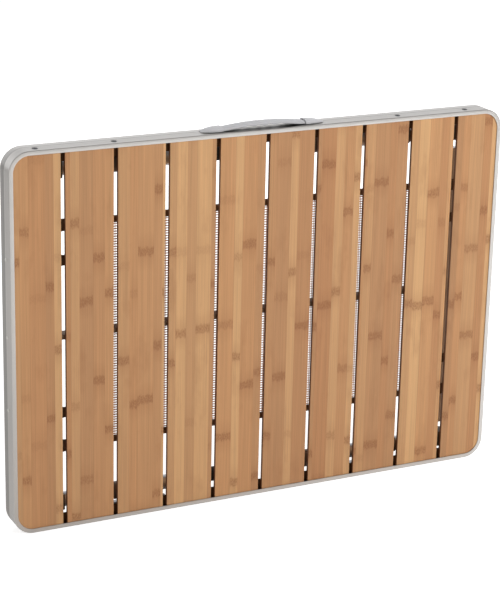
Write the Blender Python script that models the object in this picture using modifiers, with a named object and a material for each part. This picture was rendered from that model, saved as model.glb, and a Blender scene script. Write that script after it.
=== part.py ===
"""Folding camping table with a slatted bamboo top, folded up and standing on its long edge.

The top faces -Y, the carrying handle is on the upper long edge, and the two leg frames lie
folded against the back of the top. Units are metres and +Z is up. The origin is under the
middle of the lower long edge, on the surface that the table stands on.

Places behind the top are given by three measures. "Depth" runs from the front of the lip
towards the back, "inset" runs inwards from the outer face of the rim, and "reach" runs from
a leg's pivot towards the middle of the table.
"""

import math

import bmesh
import bpy
from mathutils import Matrix, Vector

# Rim
TABLE_LENGTH = 0.900
TABLE_WIDTH = 0.648
RIM_DEPTH = 0.044
RIM_CORNER_RADIUS = 0.035
RIM_WALL = 0.0022
LIP_WIDTH = 0.0075
LIP_THICKNESS = 0.0015
BEAD_ROUND = 0.0012
BEAD_DEPTH = 0.0030
BEAD_STEP = 0.0015
BEAD_STEP_DEPTH = 0.0006
RAMP_END_DEPTH = 0.018
REAR_ROUND = 0.004
REAR_FLANGE_WIDTH = 0.0065
REAR_FLANGE_THICKNESS = 0.0016
SLAT_CHANNEL_INSET = 0.0037
LEDGE_DEPTH = 0.0082
LEDGE_THICKNESS = 0.0016
LEDGE_WIDTH = 0.0235
CORNER_STEPS = 8
REAR_ROUND_STEPS = 3

# Fit between touching pieces
GAP = 0.0003

# Slats
SLAT_COUNT = 10
SLAT_PITCH = 0.0899
SLAT_WIDTH = 0.0829
SLAT_EDGE_BEVEL = 0.0008

# Rail across the backs of the slats
RAIL_HALF_LENGTH = 0.356
RAIL_CENTRE_HEIGHT = 0.3322
RAIL_WIDTH = 0.0086
RAIL_REAR_DEPTH = 0.028
RAIL_WALL = 0.0015

# Storage net
NET_LEFT = -0.334
NET_RIGHT = 0.318
NET_HALF_HEIGHT = 0.197
NET_DEPTH = 0.030
NET_THICKNESS = 0.0012
NET_HEM = 0.012
NET_THREAD = 0.0026
NET_COLUMNS = 16
NET_ROWS = 9
STRAP_HEIGHTS = ((0.1225, 0.1395), (0.180, 0.200))
STRAP_BAR_HEIGHTS = (0.116, 0.196)
STRAP_BAR_WIDTH = 0.006
STRAP_THICKNESS = 0.0011
STRAP_LOOP_STEPS = 14

# Legs
LEFT_PIVOT_X = -0.401
RIGHT_PIVOT_X = 0.383
PIVOT_DEPTH = 0.0155
LEG_INSET = 0.039
LEG_AXIS_DEPTH = 0.0285
HEAD_ROUND = 0.0055
HEAD_HALF_WIDTH = 0.0137
HEAD_FRONT_DEPTH = 0.0145
HEAD_REAR_DEPTH = 0.0425
HEAD_REACH = 0.046
HEAD_CHAMFER_REACH = 0.006
HEAD_CHAMFER_DEPTH = 0.030
HEAD_BEVEL = 0.0008
HEAD_ROUND_STEPS = 5
SOCKET_REACH = 0.024
OUTER_TUBE_RADIUS = 0.0125
OUTER_TUBE_BORE = 0.0110
OUTER_TUBE_END = 0.262
INNER_TUBE_RADIUS = 0.0095
INNER_TUBE_BORE = 0.0080
INNER_TUBE_START = 0.060
INNER_TUBE_END = 0.325
GUIDE_BUSH_RADIUS = 0.0107
GUIDE_BUSH_LENGTH = 0.012
FOOT_RADIUS = 0.0125
FOOT_START = 0.305
FOOT_END = 0.335
FOOT_ROUND = 0.002
COLLAR_START = 0.255
COLLAR_END = 0.290
COLLAR_RADIUS = 0.0150
COLLAR_GROOVE = 0.0012
COLLAR_RIBS = 12
COLLAR_RIB_SHARE = 0.50
COLLAR_VALLEY_SHARES = (0.62, 0.88)
CROSS_MEMBER_REACH = 0.014
CROSS_MEMBER_DEPTH = 0.031
CROSS_MEMBER_RADIUS = 0.010
CROSS_MEMBER_HALF_LENGTH = 0.255
SPIGOT_RADIUS = 0.004
SPIGOT_DEPTH = 0.006

# Pivot bolts, anchor bolts and their side plates
BOLT_HEAD_RADIUS = 0.0045
BOLT_HEAD_INSET = 0.0002
BOLT_SINK_INSET = 0.0012
BOLT_RADIUS = 0.003
PLATE_INSET = 0.0028
PLATE_THICKNESS = 0.002
PLATE_START = -0.005
PLATE_END = 0.141
PLATE_DEPTHS = (0.0103, 0.0240)
PLATE_CORNER = 0.004
PLATE_CORNER_STEPS = 3
BOSS_RADIUS = 0.005
PIVOT_PIN_INSET = 0.0447
ANCHOR_REACH = 0.133
POST_RADIUS = 0.004
PIN_RADIUS = 0.0025

# Folding braces between the side plates and the legs
BRACE_STUD_REACH = 0.125
KNUCKLE_REACH = 0.2249
KNUCKLE_DEPTH = 0.0215
LINK_WIDTH = 0.010
LINK_THICKNESS = 0.0025
LINK_END_STEPS = 6
FRAME_LINK_INSET = 0.012
LEG_LINK_INSET = 0.017
RIVET_HEAD_HEIGHT = 0.0012
PIN_HEAD_HEIGHT = 0.0017
SADDLE_START = 0.104
SADDLE_END = 0.146
SADDLE_RADIUS = 0.0150
STUD_RADIUS = 0.005

# Carrying handle on the upper long edge
GRIP_LEFT = -0.0775
GRIP_RIGHT = 0.0715
GRIP_HALF_WIDTH = 0.0112
GRIP_END_NARROWING = 0.001
GRIP_RISE = 0.0104
GRIP_END_RISE = 0.0055
GRIP_CLEARANCE = 0.0045
GRIP_SHOULDER = 0.045
SCALLOP_COUNT = 4
SCALLOP_PITCH = 0.0195
SCALLOP_RISE = 0.0008
GRIP_STATIONS = 29
TONGUE_LENGTH = 0.0125
TONGUE_HALF_WIDTH = 0.0055
TONGUE_THICKNESS = 0.0016
TONGUE_CLEARANCE = 0.0004
HANDLE_LIFT = 0.0030
CAP_LENGTH = 0.0365
CAP_INNER_GAP = 0.0010
CAP_HEIGHT = 0.0074
CAP_TOE_HEIGHT = 0.0012
CAP_HALF_WIDTH = 0.0120
CAP_TOE_HALF_WIDTH = 0.0050
CAP_TAPER_POWER = 2.6
CAP_STATIONS = 9
CAP_POCKET_HALF_WIDTH = 0.0063
SECTION_EDGE = 0.0006
SECTION_SIDE_SHARE = 0.25
SECTION_CROWN_SHARE = 0.5
SECTION_CROWN_ANGLES = (0, 30, 60, 90)

# Facets and edges
ROUND_SIDES = 20
SMALL_SIDES = 12
BEVELLED_ANGLE = 50
SHARP_ANGLE = 30
AXIS_MARK_SIZE = 0.02
MERGE_DISTANCE = 0.00001

# Places worked out from the above
FRONT_Y = -RIM_DEPTH / 2
MID_HEIGHT = TABLE_WIDTH / 2
SLAT_FRONT_DEPTH = LIP_THICKNESS + GAP
SLAT_REAR_DEPTH = LEDGE_DEPTH - GAP
SLAT_END_INSET = SLAT_CHANNEL_INSET + GAP

FINISHES = {
    "aluminium": ((0.55, 0.55, 0.56), 0.42, 1.0),
    "bamboo": ((0.52, 0.29, 0.13), 0.55, 0.0),
    "leg_tube": ((0.60, 0.60, 0.61), 0.35, 1.0),
    "steel": ((0.42, 0.42, 0.43), 0.38, 1.0),
    "moulding": ((0.10, 0.10, 0.105), 0.60, 0.0),
    "grip_rubber": ((0.36, 0.36, 0.37), 0.65, 0.0),
    "foot_rubber": ((0.04, 0.04, 0.042), 0.80, 0.0),
    "mesh_net": ((0.10, 0.09, 0.08), 0.90, 0.0),
    "webbing": ((0.08, 0.07, 0.065), 0.90, 0.0),
}


class Corner:
    """One corner of the table, with its own measures of reach, depth and inset."""

    def __init__(self, side, edge):
        self.side = side
        self.edge = edge
        self.name = side + "_" + edge
        self.pivot_x = LEFT_PIVOT_X if side == "left" else RIGHT_PIVOT_X
        self.inboard = 1.0 if side == "left" else -1.0
        self.inwards = 1.0 if edge == "bottom" else -1.0
        self.edge_height = 0.0 if edge == "bottom" else TABLE_WIDTH

    def matrix(self):
        """Turn (reach, depth, inset) into world places."""
        place = Matrix.Translation((self.pivot_x, FRONT_Y, self.edge_height))
        return place @ Matrix.Diagonal((self.inboard, 1.0, self.inwards, 1.0))

    def point(self, reach, depth, inset):
        """World place of one point given by its reach, depth and inset."""
        return self.matrix() @ Vector((reach, depth, inset))


def clear_scene():
    """Remove every object, so that the script gives the same result each run."""
    for obj in list(bpy.data.objects):
        bpy.data.objects.remove(obj, do_unlink=True)


def make_materials():
    """One Principled material for each finish of the table."""
    materials = {}
    for name, (colour, roughness, metallic) in FINISHES.items():
        material = bpy.data.materials.new(name)
        material.use_nodes = True
        shader = material.node_tree.nodes["Principled BSDF"]
        shader.inputs["Base Color"].default_value = (*colour, 1.0)
        shader.inputs["Roughness"].default_value = roughness
        shader.inputs["Metallic"].default_value = metallic
        material.diffuse_color = (*colour, 1.0)
        materials[name] = material
    return materials


def make_collection(name):
    """A new collection in the scene."""
    collection = bpy.data.collections.new(name)
    bpy.context.scene.collection.children.link(collection)
    return collection


def evaluated_bmesh(obj):
    """The object's mesh with its modifiers worked out, in its own space, and the object removed."""
    graph = bpy.context.evaluated_depsgraph_get()
    mesh = bpy.data.meshes.new_from_object(obj.evaluated_get(graph))
    bm = bmesh.new()
    bm.from_mesh(mesh)
    bpy.data.meshes.remove(mesh)
    bpy.data.objects.remove(obj, do_unlink=True)
    return bm


def temporary_object(bm, name):
    """An object in the scene that holds a shape while a modifier works on it."""
    mesh = bpy.data.meshes.new(name)
    bm.to_mesh(mesh)
    bm.free()
    obj = bpy.data.objects.new(name, mesh)
    bpy.context.scene.collection.objects.link(obj)
    return obj


def outward(bm):
    """Point every face of a closed shape outwards."""
    bmesh.ops.recalc_face_normals(bm, faces=bm.faces)
    return bm


def combined(base, others, operation):
    """A shape joined with, or cut by, each of the other shapes."""
    main = temporary_object(outward(base), "work_base")
    tools = []
    for other in others:
        tool = temporary_object(outward(other), "work_tool")
        modifier = main.modifiers.new("Combine", 'BOOLEAN')
        modifier.operation = operation
        modifier.solver = 'EXACT'
        modifier.object = tool
        tools.append(tool)
    result = evaluated_bmesh(main)
    for tool in tools:
        bpy.data.objects.remove(tool, do_unlink=True)
    bmesh.ops.remove_doubles(result, verts=result.verts, dist=MERGE_DISTANCE)
    return result


def joined(base, *others):
    """The union of overlapping shapes."""
    return combined(base, others, 'UNION')


def cut(base, *others):
    """A shape with the others cut out of it."""
    return combined(base, others, 'DIFFERENCE')


def box(low, high):
    """A box between two opposite corners."""
    bm = bmesh.new()
    size = Vector(high) - Vector(low)
    centre = (Vector(high) + Vector(low)) / 2
    matrix = Matrix.Translation(centre) @ Matrix.Diagonal((*size, 1.0))
    bmesh.ops.create_cube(bm, size=1.0, matrix=matrix)
    return bm


def turned(profile, sides):
    """A profile of (radius, height) pairs turned about the Z axis.

    A profile that starts and ends on the axis gives a solid, any other a ring.
    """
    on_axis = profile[0][0] == 0.0 and profile[-1][0] == 0.0
    points = [(radius, 0.0, height) for radius, height in profile]
    edges = [(index, index + 1) for index in range(len(points) - 1)]
    if not on_axis:
        edges.append((len(points) - 1, 0))
    mesh = bpy.data.meshes.new("profile")
    mesh.from_pydata(points, edges, [])
    obj = bpy.data.objects.new("profile", mesh)
    bpy.context.scene.collection.objects.link(obj)
    screw = obj.modifiers.new("Turn", 'SCREW')
    screw.steps = sides
    screw.render_steps = sides
    screw.use_merge_vertices = True
    screw.merge_threshold = MERGE_DISTANCE
    return outward(evaluated_bmesh(obj))


def moved(bm, matrix):
    """A shape put through a matrix, with its faces still pointing outwards."""
    bmesh.ops.transform(bm, matrix=matrix, verts=bm.verts)
    return outward(bm)


def turned_inwards(profile, reach, depth, sides):
    """A profile turned about an axis that runs inwards from the rim, its heights being insets."""
    return moved(turned(profile, sides), Matrix.Translation((reach, depth, 0.0)))


def turned_along_leg(profile, sides):
    """A profile turned about the leg's axis, its heights being reaches."""
    lay_down = Matrix.Rotation(math.pi / 2, 4, 'Y')
    place = Matrix.Translation((0.0, LEG_AXIS_DEPTH, LEG_INSET))
    return moved(turned(profile, sides), place @ lay_down)


def prism(outline, low, high):
    """A flat outline in the first two measures, given a thickness in the third."""
    bm = bmesh.new()
    ring = [bm.verts.new((across, along, low)) for across, along in outline]
    face = bm.faces.new(ring)
    raised = bmesh.ops.extrude_face_region(bm, geom=[face])
    top = [item for item in raised["geom"] if isinstance(item, bmesh.types.BMVert)]
    bmesh.ops.translate(bm, verts=top, vec=(0.0, 0.0, high - low))
    return outward(bm)


def arc(centre, radius, start, end, steps):
    """Points on an arc, with its angles in degrees."""
    points = []
    for step in range(steps + 1):
        angle = math.radians(start + (end - start) * step / steps)
        points.append((centre[0] + radius * math.cos(angle), centre[1] + radius * math.sin(angle)))
    return points


def rounded_rectangle(low, high, radii, steps):
    """A rectangle's outline with a radius at each corner, from the high-high corner round."""
    outline = []
    corners = (
        (high[0], high[1], -1, -1, 0),
        (low[0], high[1], 1, -1, 90),
        (low[0], low[1], 1, 1, 180),
        (high[0], low[1], -1, 1, 270),
    )
    for (across, along, step_across, step_along, start), radius in zip(corners, radii):
        if radius == 0.0:
            outline.append((across, along))
            continue
        centre = (across + step_across * radius, along + step_along * radius)
        outline.extend(arc(centre, radius, start, start + 90, steps))
    return outline


def stadium(start, end, half_width, steps):
    """The outline of a bar with round ends between two points."""
    heading = math.degrees(math.atan2(end[1] - start[1], end[0] - start[0]))
    outline = arc(end, half_width, heading - 90, heading + 90, steps)
    outline.extend(arc(start, half_width, heading + 90, heading + 270, steps))
    return outline


def teardrop(centre, radius, tip, steps):
    """The outline of a band pulled from a round bar to a point."""
    across = tip[0] - centre[0]
    along = tip[1] - centre[1]
    heading = math.degrees(math.atan2(along, across))
    opening = math.degrees(math.acos(radius / math.hypot(across, along)))
    outline = arc(centre, radius, heading + opening, heading + 360 - opening, steps)
    outline.append(tip)
    return outline


def bevelled(bm, width, segments=1):
    """A shape with its sharp edges bevelled."""
    sharp = [edge for edge in bm.edges if edge.calc_face_angle(0.0) > math.radians(BEVELLED_ANGLE)]
    bmesh.ops.bevel(bm, geom=sharp, offset=width, segments=segments, affect='EDGES', profile=0.5)
    return outward(bm)


def loft(rings):
    """A closed shape through rings of points, each with the same number of points."""
    bm = bmesh.new()
    rows = [[bm.verts.new(point) for point in ring] for ring in rings]
    for row, following in zip(rows, rows[1:]):
        for index in range(len(row)):
            after = (index + 1) % len(row)
            bm.faces.new((row[index], row[after], following[after], following[index]))
    bm.faces.new(rows[0])
    bm.faces.new(rows[-1])
    return outward(bm)


class Model:
    """Places finished shapes in the table's collection."""

    def __init__(self):
        self.parts = make_collection("folding_camping_table")
        self.materials = make_materials()

    def axis(self, name, place):
        """An empty on a moving body's axis."""
        empty = bpy.data.objects.new(name, None)
        empty.empty_display_size = AXIS_MARK_SIZE
        empty["world_place"] = place
        self.parts.objects.link(empty)
        self.attach(empty, place, None)
        return empty

    def attach(self, obj, place, parent):
        """Put an object at a world place, under its parent where it has one."""
        if parent is None:
            obj.location = place
            return
        obj.parent = parent
        obj.location = Vector(place) - Vector(parent["world_place"])

    def add(self, name, bm, finish, place=(0.0, 0.0, 0.0), parent=None):
        """A named object made from a shape in world space, with its origin at a given place."""
        origin = Vector(place)
        bmesh.ops.translate(bm, verts=bm.verts, vec=-origin)
        mesh = bpy.data.meshes.new(name)
        bm.to_mesh(mesh)
        bm.free()
        mesh.materials.append(self.materials[finish])
        mesh.shade_smooth()
        mesh.set_sharp_from_angle(angle=math.radians(SHARP_ANGLE))
        obj = bpy.data.objects.new(name, mesh)
        self.parts.objects.link(obj)
        self.attach(obj, origin, parent)
        return obj


def rim_profile():
    """The rim's section as (inset, depth) points: lip, bead, wall, rear flange and ledge."""
    outer_round = arc((REAR_ROUND, RIM_DEPTH - REAR_ROUND), REAR_ROUND, 180, 90, REAR_ROUND_STEPS)
    inner_radius = REAR_ROUND - REAR_FLANGE_THICKNESS
    inner_centre = (RIM_WALL + inner_radius, RIM_DEPTH - REAR_FLANGE_THICKNESS - inner_radius)
    inner_round = arc(inner_centre, inner_radius, 90, 180, REAR_ROUND_STEPS)
    profile = [
        (LIP_WIDTH, 0.0),
        (BEAD_ROUND, 0.0),
        (0.0, BEAD_ROUND),
        (0.0, BEAD_DEPTH),
        (BEAD_STEP, BEAD_DEPTH + BEAD_STEP_DEPTH),
        (0.0, RAMP_END_DEPTH),
    ]
    profile.extend(outer_round)
    profile.append((REAR_FLANGE_WIDTH, RIM_DEPTH))
    profile.append((REAR_FLANGE_WIDTH, RIM_DEPTH - REAR_FLANGE_THICKNESS))
    profile.extend(inner_round)
    profile.extend((
        (RIM_WALL, LEDGE_DEPTH + LEDGE_THICKNESS),
        (LEDGE_WIDTH, LEDGE_DEPTH + LEDGE_THICKNESS),
        (LEDGE_WIDTH, LEDGE_DEPTH),
        (SLAT_CHANNEL_INSET, LEDGE_DEPTH),
        (SLAT_CHANNEL_INSET, LIP_THICKNESS),
        (LIP_WIDTH, LIP_THICKNESS),
    ))
    return profile


def swept_rim():
    """The rim's section carried round the table's rounded rectangle."""
    profile = rim_profile()
    across = TABLE_LENGTH / 2 - RIM_CORNER_RADIUS
    low = RIM_CORNER_RADIUS
    high = TABLE_WIDTH - RIM_CORNER_RADIUS
    centres = ((across, high, 0), (-across, high, 90), (-across, low, 180), (across, low, 270))
    bm = bmesh.new()
    rings = []
    for centre_x, centre_z, start in centres:
        for step in range(CORNER_STEPS + 1):
            angle = math.radians(start + 90 * step / CORNER_STEPS)
            ring = []
            for inset, depth in profile:
                radius = RIM_CORNER_RADIUS - inset
                place_x = centre_x + radius * math.cos(angle)
                place_z = centre_z + radius * math.sin(angle)
                ring.append(bm.verts.new((place_x, FRONT_Y + depth, place_z)))
            rings.append(ring)
    for ring, following in zip(rings, rings[1:] + rings[:1]):
        for index in range(len(profile)):
            after = (index + 1) % len(profile)
            bm.faces.new((ring[index], ring[after], following[after], following[index]))
    return outward(bm)


def bolt_hole(corner, reach):
    """The cutter for one bolt: a sinking for its head and a hole for its shank."""
    head = BOLT_HEAD_RADIUS + 2 * GAP
    shank = BOLT_RADIUS + GAP
    outside = -RIM_WALL
    profile = (
        (0.0, outside),
        (head, outside),
        (head, BOLT_SINK_INSET),
        (shank, BOLT_SINK_INSET),
        (shank, 2 * RIM_WALL),
        (0.0, 2 * RIM_WALL),
    )
    return moved(turned_inwards(profile, reach, PIVOT_DEPTH, SMALL_SIDES), corner.matrix())


def build_rim(model, corners):
    """The bent aluminium rim with the bolt holes of the four corners."""
    cutters = []
    for corner in corners:
        cutters.append(bolt_hole(corner, 0.0))
        cutters.append(bolt_hole(corner, ANCHOR_REACH))
    model.add("frame_rim", cut(swept_rim(), *cutters), "aluminium")


def flat_across(bm):
    """Turn a prism drawn in X and Z, standing on its own third measure, to face -Y."""
    stand = Matrix(((1, 0, 0, 0), (0, 0, 1, FRONT_Y), (0, 1, 0, 0), (0, 0, 0, 1)))
    return moved(bm, stand)


def build_slats(model):
    """Ten bamboo slats, the outer two with their corners rounded to fit the rim."""
    low_z = SLAT_END_INSET
    high_z = TABLE_WIDTH - SLAT_END_INSET
    end_x = TABLE_LENGTH / 2 - SLAT_END_INSET
    corner = RIM_CORNER_RADIUS - SLAT_END_INSET
    for number in range(1, SLAT_COUNT + 1):
        centre = (number - (SLAT_COUNT + 1) / 2) * SLAT_PITCH
        low_x = centre - SLAT_WIDTH / 2
        high_x = centre + SLAT_WIDTH / 2
        radii = [0.0, 0.0, 0.0, 0.0]
        if number == 1:
            low_x = -end_x
            radii = [0.0, corner, corner, 0.0]
        if number == SLAT_COUNT:
            high_x = end_x
            radii = [corner, 0.0, 0.0, corner]
        outline = rounded_rectangle((low_x, low_z), (high_x, high_z), radii, CORNER_STEPS)
        slat = bevelled(prism(outline, SLAT_FRONT_DEPTH, SLAT_REAR_DEPTH), SLAT_EDGE_BEVEL)
        model.add("slat_%02d" % number, flat_across(slat), "bamboo")


def build_rail(model):
    """A channel along the backs of the slats, open towards the ground side."""
    half = RAIL_WIDTH / 2
    top = RAIL_CENTRE_HEIGHT + half
    bottom = RAIL_CENTRE_HEIGHT - half
    front = FRONT_Y + LEDGE_DEPTH
    rear = FRONT_Y + RAIL_REAR_DEPTH
    channel = box((-RAIL_HALF_LENGTH, front, bottom), (RAIL_HALF_LENGTH, rear, top))
    inside_low = (-2 * RAIL_HALF_LENGTH, front + RAIL_WALL, bottom + RAIL_WALL)
    inside_high = (2 * RAIL_HALF_LENGTH, rear + RAIL_WALL, top - RAIL_WALL)
    model.add("centre_rail", cut(channel, box(inside_low, inside_high)), "aluminium")


def grid_lines(low, high, hem, thread, gaps):
    """Places of the edges of the hems and threads along one side of the net."""
    opening = (high - low - 2 * hem - (gaps - 1) * thread) / gaps
    lines = [low, low + hem]
    for _ in range(gaps - 1):
        lines.append(lines[-1] + opening)
        lines.append(lines[-1] + thread)
    lines.append(high - hem)
    lines.append(high)
    return lines


def build_net(model):
    """The flat storage net with its hems: every second cell of the grid is a gap."""
    lines_x = grid_lines(NET_LEFT, NET_RIGHT, NET_HEM, NET_THREAD, NET_COLUMNS)
    low_z = MID_HEIGHT - NET_HALF_HEIGHT
    high_z = MID_HEIGHT + NET_HALF_HEIGHT
    lines_z = grid_lines(low_z, high_z, NET_HEM, NET_THREAD, NET_ROWS)
    columns = len(lines_x) - 1
    rows = len(lines_z) - 1
    bm = bmesh.new()
    bmesh.ops.create_grid(bm, x_segments=columns, y_segments=rows, size=1.0)
    for vert in bm.verts:
        column = round((vert.co.x + 1.0) / 2.0 * columns)
        row = round((vert.co.y + 1.0) / 2.0 * rows)
        vert.co = (lines_x[column], lines_z[row], 0.0)
    gaps = []
    for face in bm.faces:
        centre = face.calc_center_median()
        column = sum(1 for line in lines_x if line < centre.x)
        row = sum(1 for line in lines_z if line < centre.y)
        if column % 2 == 0 and row % 2 == 0:
            gaps.append(face)
    bmesh.ops.delete(bm, geom=gaps, context='FACES')
    raised = bmesh.ops.extrude_face_region(bm, geom=list(bm.faces))
    top = [item for item in raised["geom"] if isinstance(item, bmesh.types.BMVert)]
    bmesh.ops.translate(bm, verts=top, vec=(0.0, 0.0, NET_THICKNESS))
    bmesh.ops.translate(bm, verts=bm.verts, vec=(0.0, 0.0, NET_DEPTH))
    model.add("storage_net", flat_across(outward(bm)), "mesh_net")


def build_side_plate(model, corner):
    """A plate inside the rim with the leg's pivot bolt and the brace's anchor bolt."""
    radii = (PLATE_CORNER, PLATE_CORNER, PLATE_CORNER, PLATE_CORNER)
    low = (PLATE_START, PLATE_DEPTHS[0])
    high = (PLATE_END, PLATE_DEPTHS[1])
    outline = rounded_rectangle(low, high, radii, PLATE_CORNER_STEPS)
    plate = prism(outline, PLATE_INSET, PLATE_INSET + PLATE_THICKNESS)
    inside_plate = PLATE_INSET + PLATE_THICKNESS / 2
    head_end = BOLT_SINK_INSET - GAP
    boss_end = LEG_INSET - HEAD_HALF_WIDTH - GAP
    pivot = (
        (0.0, BOLT_HEAD_INSET),
        (BOLT_HEAD_RADIUS, BOLT_HEAD_INSET),
        (BOLT_HEAD_RADIUS, head_end),
        (BOLT_RADIUS, head_end),
        (BOLT_RADIUS, inside_plate),
        (BOSS_RADIUS, inside_plate),
        (BOSS_RADIUS, boss_end),
        (BOLT_RADIUS, boss_end),
        (BOLT_RADIUS, PIVOT_PIN_INSET),
        (0.0, PIVOT_PIN_INSET),
    )
    post_end = FRAME_LINK_INSET - GAP
    pin_end = FRAME_LINK_INSET + LINK_THICKNESS + GAP
    anchor = (
        (0.0, BOLT_HEAD_INSET),
        (BOLT_HEAD_RADIUS, BOLT_HEAD_INSET),
        (BOLT_HEAD_RADIUS, head_end),
        (BOLT_RADIUS, head_end),
        (BOLT_RADIUS, inside_plate),
        (POST_RADIUS, inside_plate),
        (POST_RADIUS, post_end),
        (PIN_RADIUS, post_end),
        (PIN_RADIUS, pin_end),
        (BOLT_HEAD_RADIUS, pin_end),
        (BOLT_HEAD_RADIUS, pin_end + PIN_HEAD_HEIGHT),
        (0.0, pin_end + PIN_HEAD_HEIGHT),
    )
    pivot_bolt = turned_inwards(pivot, 0.0, PIVOT_DEPTH, SMALL_SIDES)
    anchor_bolt = turned_inwards(anchor, ANCHOR_REACH, PIVOT_DEPTH, SMALL_SIDES)
    whole = joined(plate, pivot_bolt, anchor_bolt)
    model.add("side_plate_" + corner.name, moved(whole, corner.matrix()), "steel")


def build_leg_head(model, corner, leg_axis):
    """The moulded head that turns on the pivot bolt and holds the leg tube."""
    front = HEAD_FRONT_DEPTH
    outline = arc((0.0, PIVOT_DEPTH), HEAD_ROUND, 180, 270, HEAD_ROUND_STEPS)
    outline.append((SOCKET_REACH / 2, front - HEAD_ROUND / 2))
    outline.extend(((SOCKET_REACH, front), (HEAD_REACH, front), (HEAD_REACH, HEAD_REAR_DEPTH)))
    outline.append((HEAD_CHAMFER_REACH, HEAD_REAR_DEPTH))
    outline.append((-HEAD_ROUND, HEAD_CHAMFER_DEPTH))
    low = LEG_INSET - HEAD_HALF_WIDTH
    high = LEG_INSET + HEAD_HALF_WIDTH
    block = bevelled(prism(outline, low, high), HEAD_BEVEL)
    socket = (
        (0.0, SOCKET_REACH),
        (OUTER_TUBE_RADIUS + GAP, SOCKET_REACH),
        (OUTER_TUBE_RADIUS + GAP, 2 * HEAD_REACH),
        (0.0, 2 * HEAD_REACH),
    )
    pin = BOLT_RADIUS + GAP
    pin_floor = PIVOT_PIN_INSET + GAP
    bore = ((0.0, 0.0), (pin, 0.0), (pin, pin_floor), (0.0, pin_floor))
    spigot = SPIGOT_RADIUS + GAP
    spigot_floor = high - SPIGOT_DEPTH
    recess = ((0.0, spigot_floor), (spigot, spigot_floor), (spigot, 2 * high), (0.0, 2 * high))
    head = cut(
        block,
        turned_along_leg(socket, ROUND_SIDES),
        turned_inwards(bore, 0.0, PIVOT_DEPTH, SMALL_SIDES),
        turned_inwards(recess, CROSS_MEMBER_REACH, CROSS_MEMBER_DEPTH, SMALL_SIDES),
    )
    shape = moved(head, corner.matrix())
    model.add("leg_head_" + corner.name, shape, "moulding", leg_axis["world_place"], leg_axis)


def build_outer_tube(model, corner, leg_axis):
    """The fixed tube of a leg, from its head to the twist collar."""
    start = SOCKET_REACH + GAP
    profile = (
        (OUTER_TUBE_BORE, start),
        (OUTER_TUBE_RADIUS, start),
        (OUTER_TUBE_RADIUS, OUTER_TUBE_END),
        (OUTER_TUBE_BORE, OUTER_TUBE_END),
    )
    shape = moved(turned_along_leg(profile, ROUND_SIDES), corner.matrix())
    model.add("outer_tube_" + corner.name, shape, "leg_tube", leg_axis["world_place"], leg_axis)


def build_saddle(model, corner, leg_axis):
    """The clamp on a leg tube, with the stud that the brace turns on."""
    bore = OUTER_TUBE_RADIUS + GAP
    edge = SADDLE_RADIUS - HEAD_BEVEL
    profile = (
        (bore, SADDLE_START),
        (edge, SADDLE_START),
        (SADDLE_RADIUS, SADDLE_START + HEAD_BEVEL),
        (SADDLE_RADIUS, SADDLE_END - HEAD_BEVEL),
        (edge, SADDLE_END),
        (bore, SADDLE_END),
    )
    ring = turned_along_leg(profile, ROUND_SIDES)
    pin_start = LEG_LINK_INSET - GAP
    pin_end = LEG_LINK_INSET + LINK_THICKNESS + GAP
    stud_end = LEG_INSET - bore - GAP
    stud = (
        (0.0, pin_start - PIN_HEAD_HEIGHT),
        (BOLT_HEAD_RADIUS, pin_start - PIN_HEAD_HEIGHT),
        (BOLT_HEAD_RADIUS, pin_start),
        (PIN_RADIUS, pin_start),
        (PIN_RADIUS, pin_end),
        (STUD_RADIUS, pin_end),
        (STUD_RADIUS, stud_end),
        (0.0, stud_end),
    )
    stud_shape = turned_inwards(stud, BRACE_STUD_REACH, LEG_AXIS_DEPTH, SMALL_SIDES)
    shape = moved(joined(ring, stud_shape), corner.matrix())
    model.add("brace_saddle_" + corner.name, shape, "moulding", leg_axis["world_place"], leg_axis)


def build_collar(model, corner, leg_axis):
    """The ribbed collar that is twisted to clamp the sliding tube."""
    outline = []
    per_rib = 360 / COLLAR_RIBS
    valley = COLLAR_RADIUS - COLLAR_GROOVE
    one_rib = [(COLLAR_RADIUS, 0.0), (COLLAR_RADIUS, COLLAR_RIB_SHARE)]
    one_rib.extend((valley, share) for share in COLLAR_VALLEY_SHARES)
    for rib in range(COLLAR_RIBS):
        for radius, share in one_rib:
            angle = math.radians((rib + share) * per_rib)
            outline.append((radius * math.cos(angle), radius * math.sin(angle)))
    lay_down = Matrix.Rotation(math.pi / 2, 4, 'Y')
    place = Matrix.Translation((0.0, LEG_AXIS_DEPTH, LEG_INSET))
    body = moved(prism(outline, COLLAR_START, COLLAR_END), place @ lay_down)
    outer = OUTER_TUBE_RADIUS + GAP
    inner = INNER_TUBE_RADIUS + GAP
    bore = (
        (0.0, 0.0),
        (outer, 0.0),
        (outer, OUTER_TUBE_END + GAP),
        (inner, OUTER_TUBE_END + GAP),
        (inner, 2 * COLLAR_END),
        (0.0, 2 * COLLAR_END),
    )
    shape = moved(cut(body, turned_along_leg(bore, ROUND_SIDES)), corner.matrix())
    place = corner.point(COLLAR_START, LEG_AXIS_DEPTH, LEG_INSET)
    model.add("twist_collar_" + corner.name, shape, "moulding", place, leg_axis)


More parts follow.
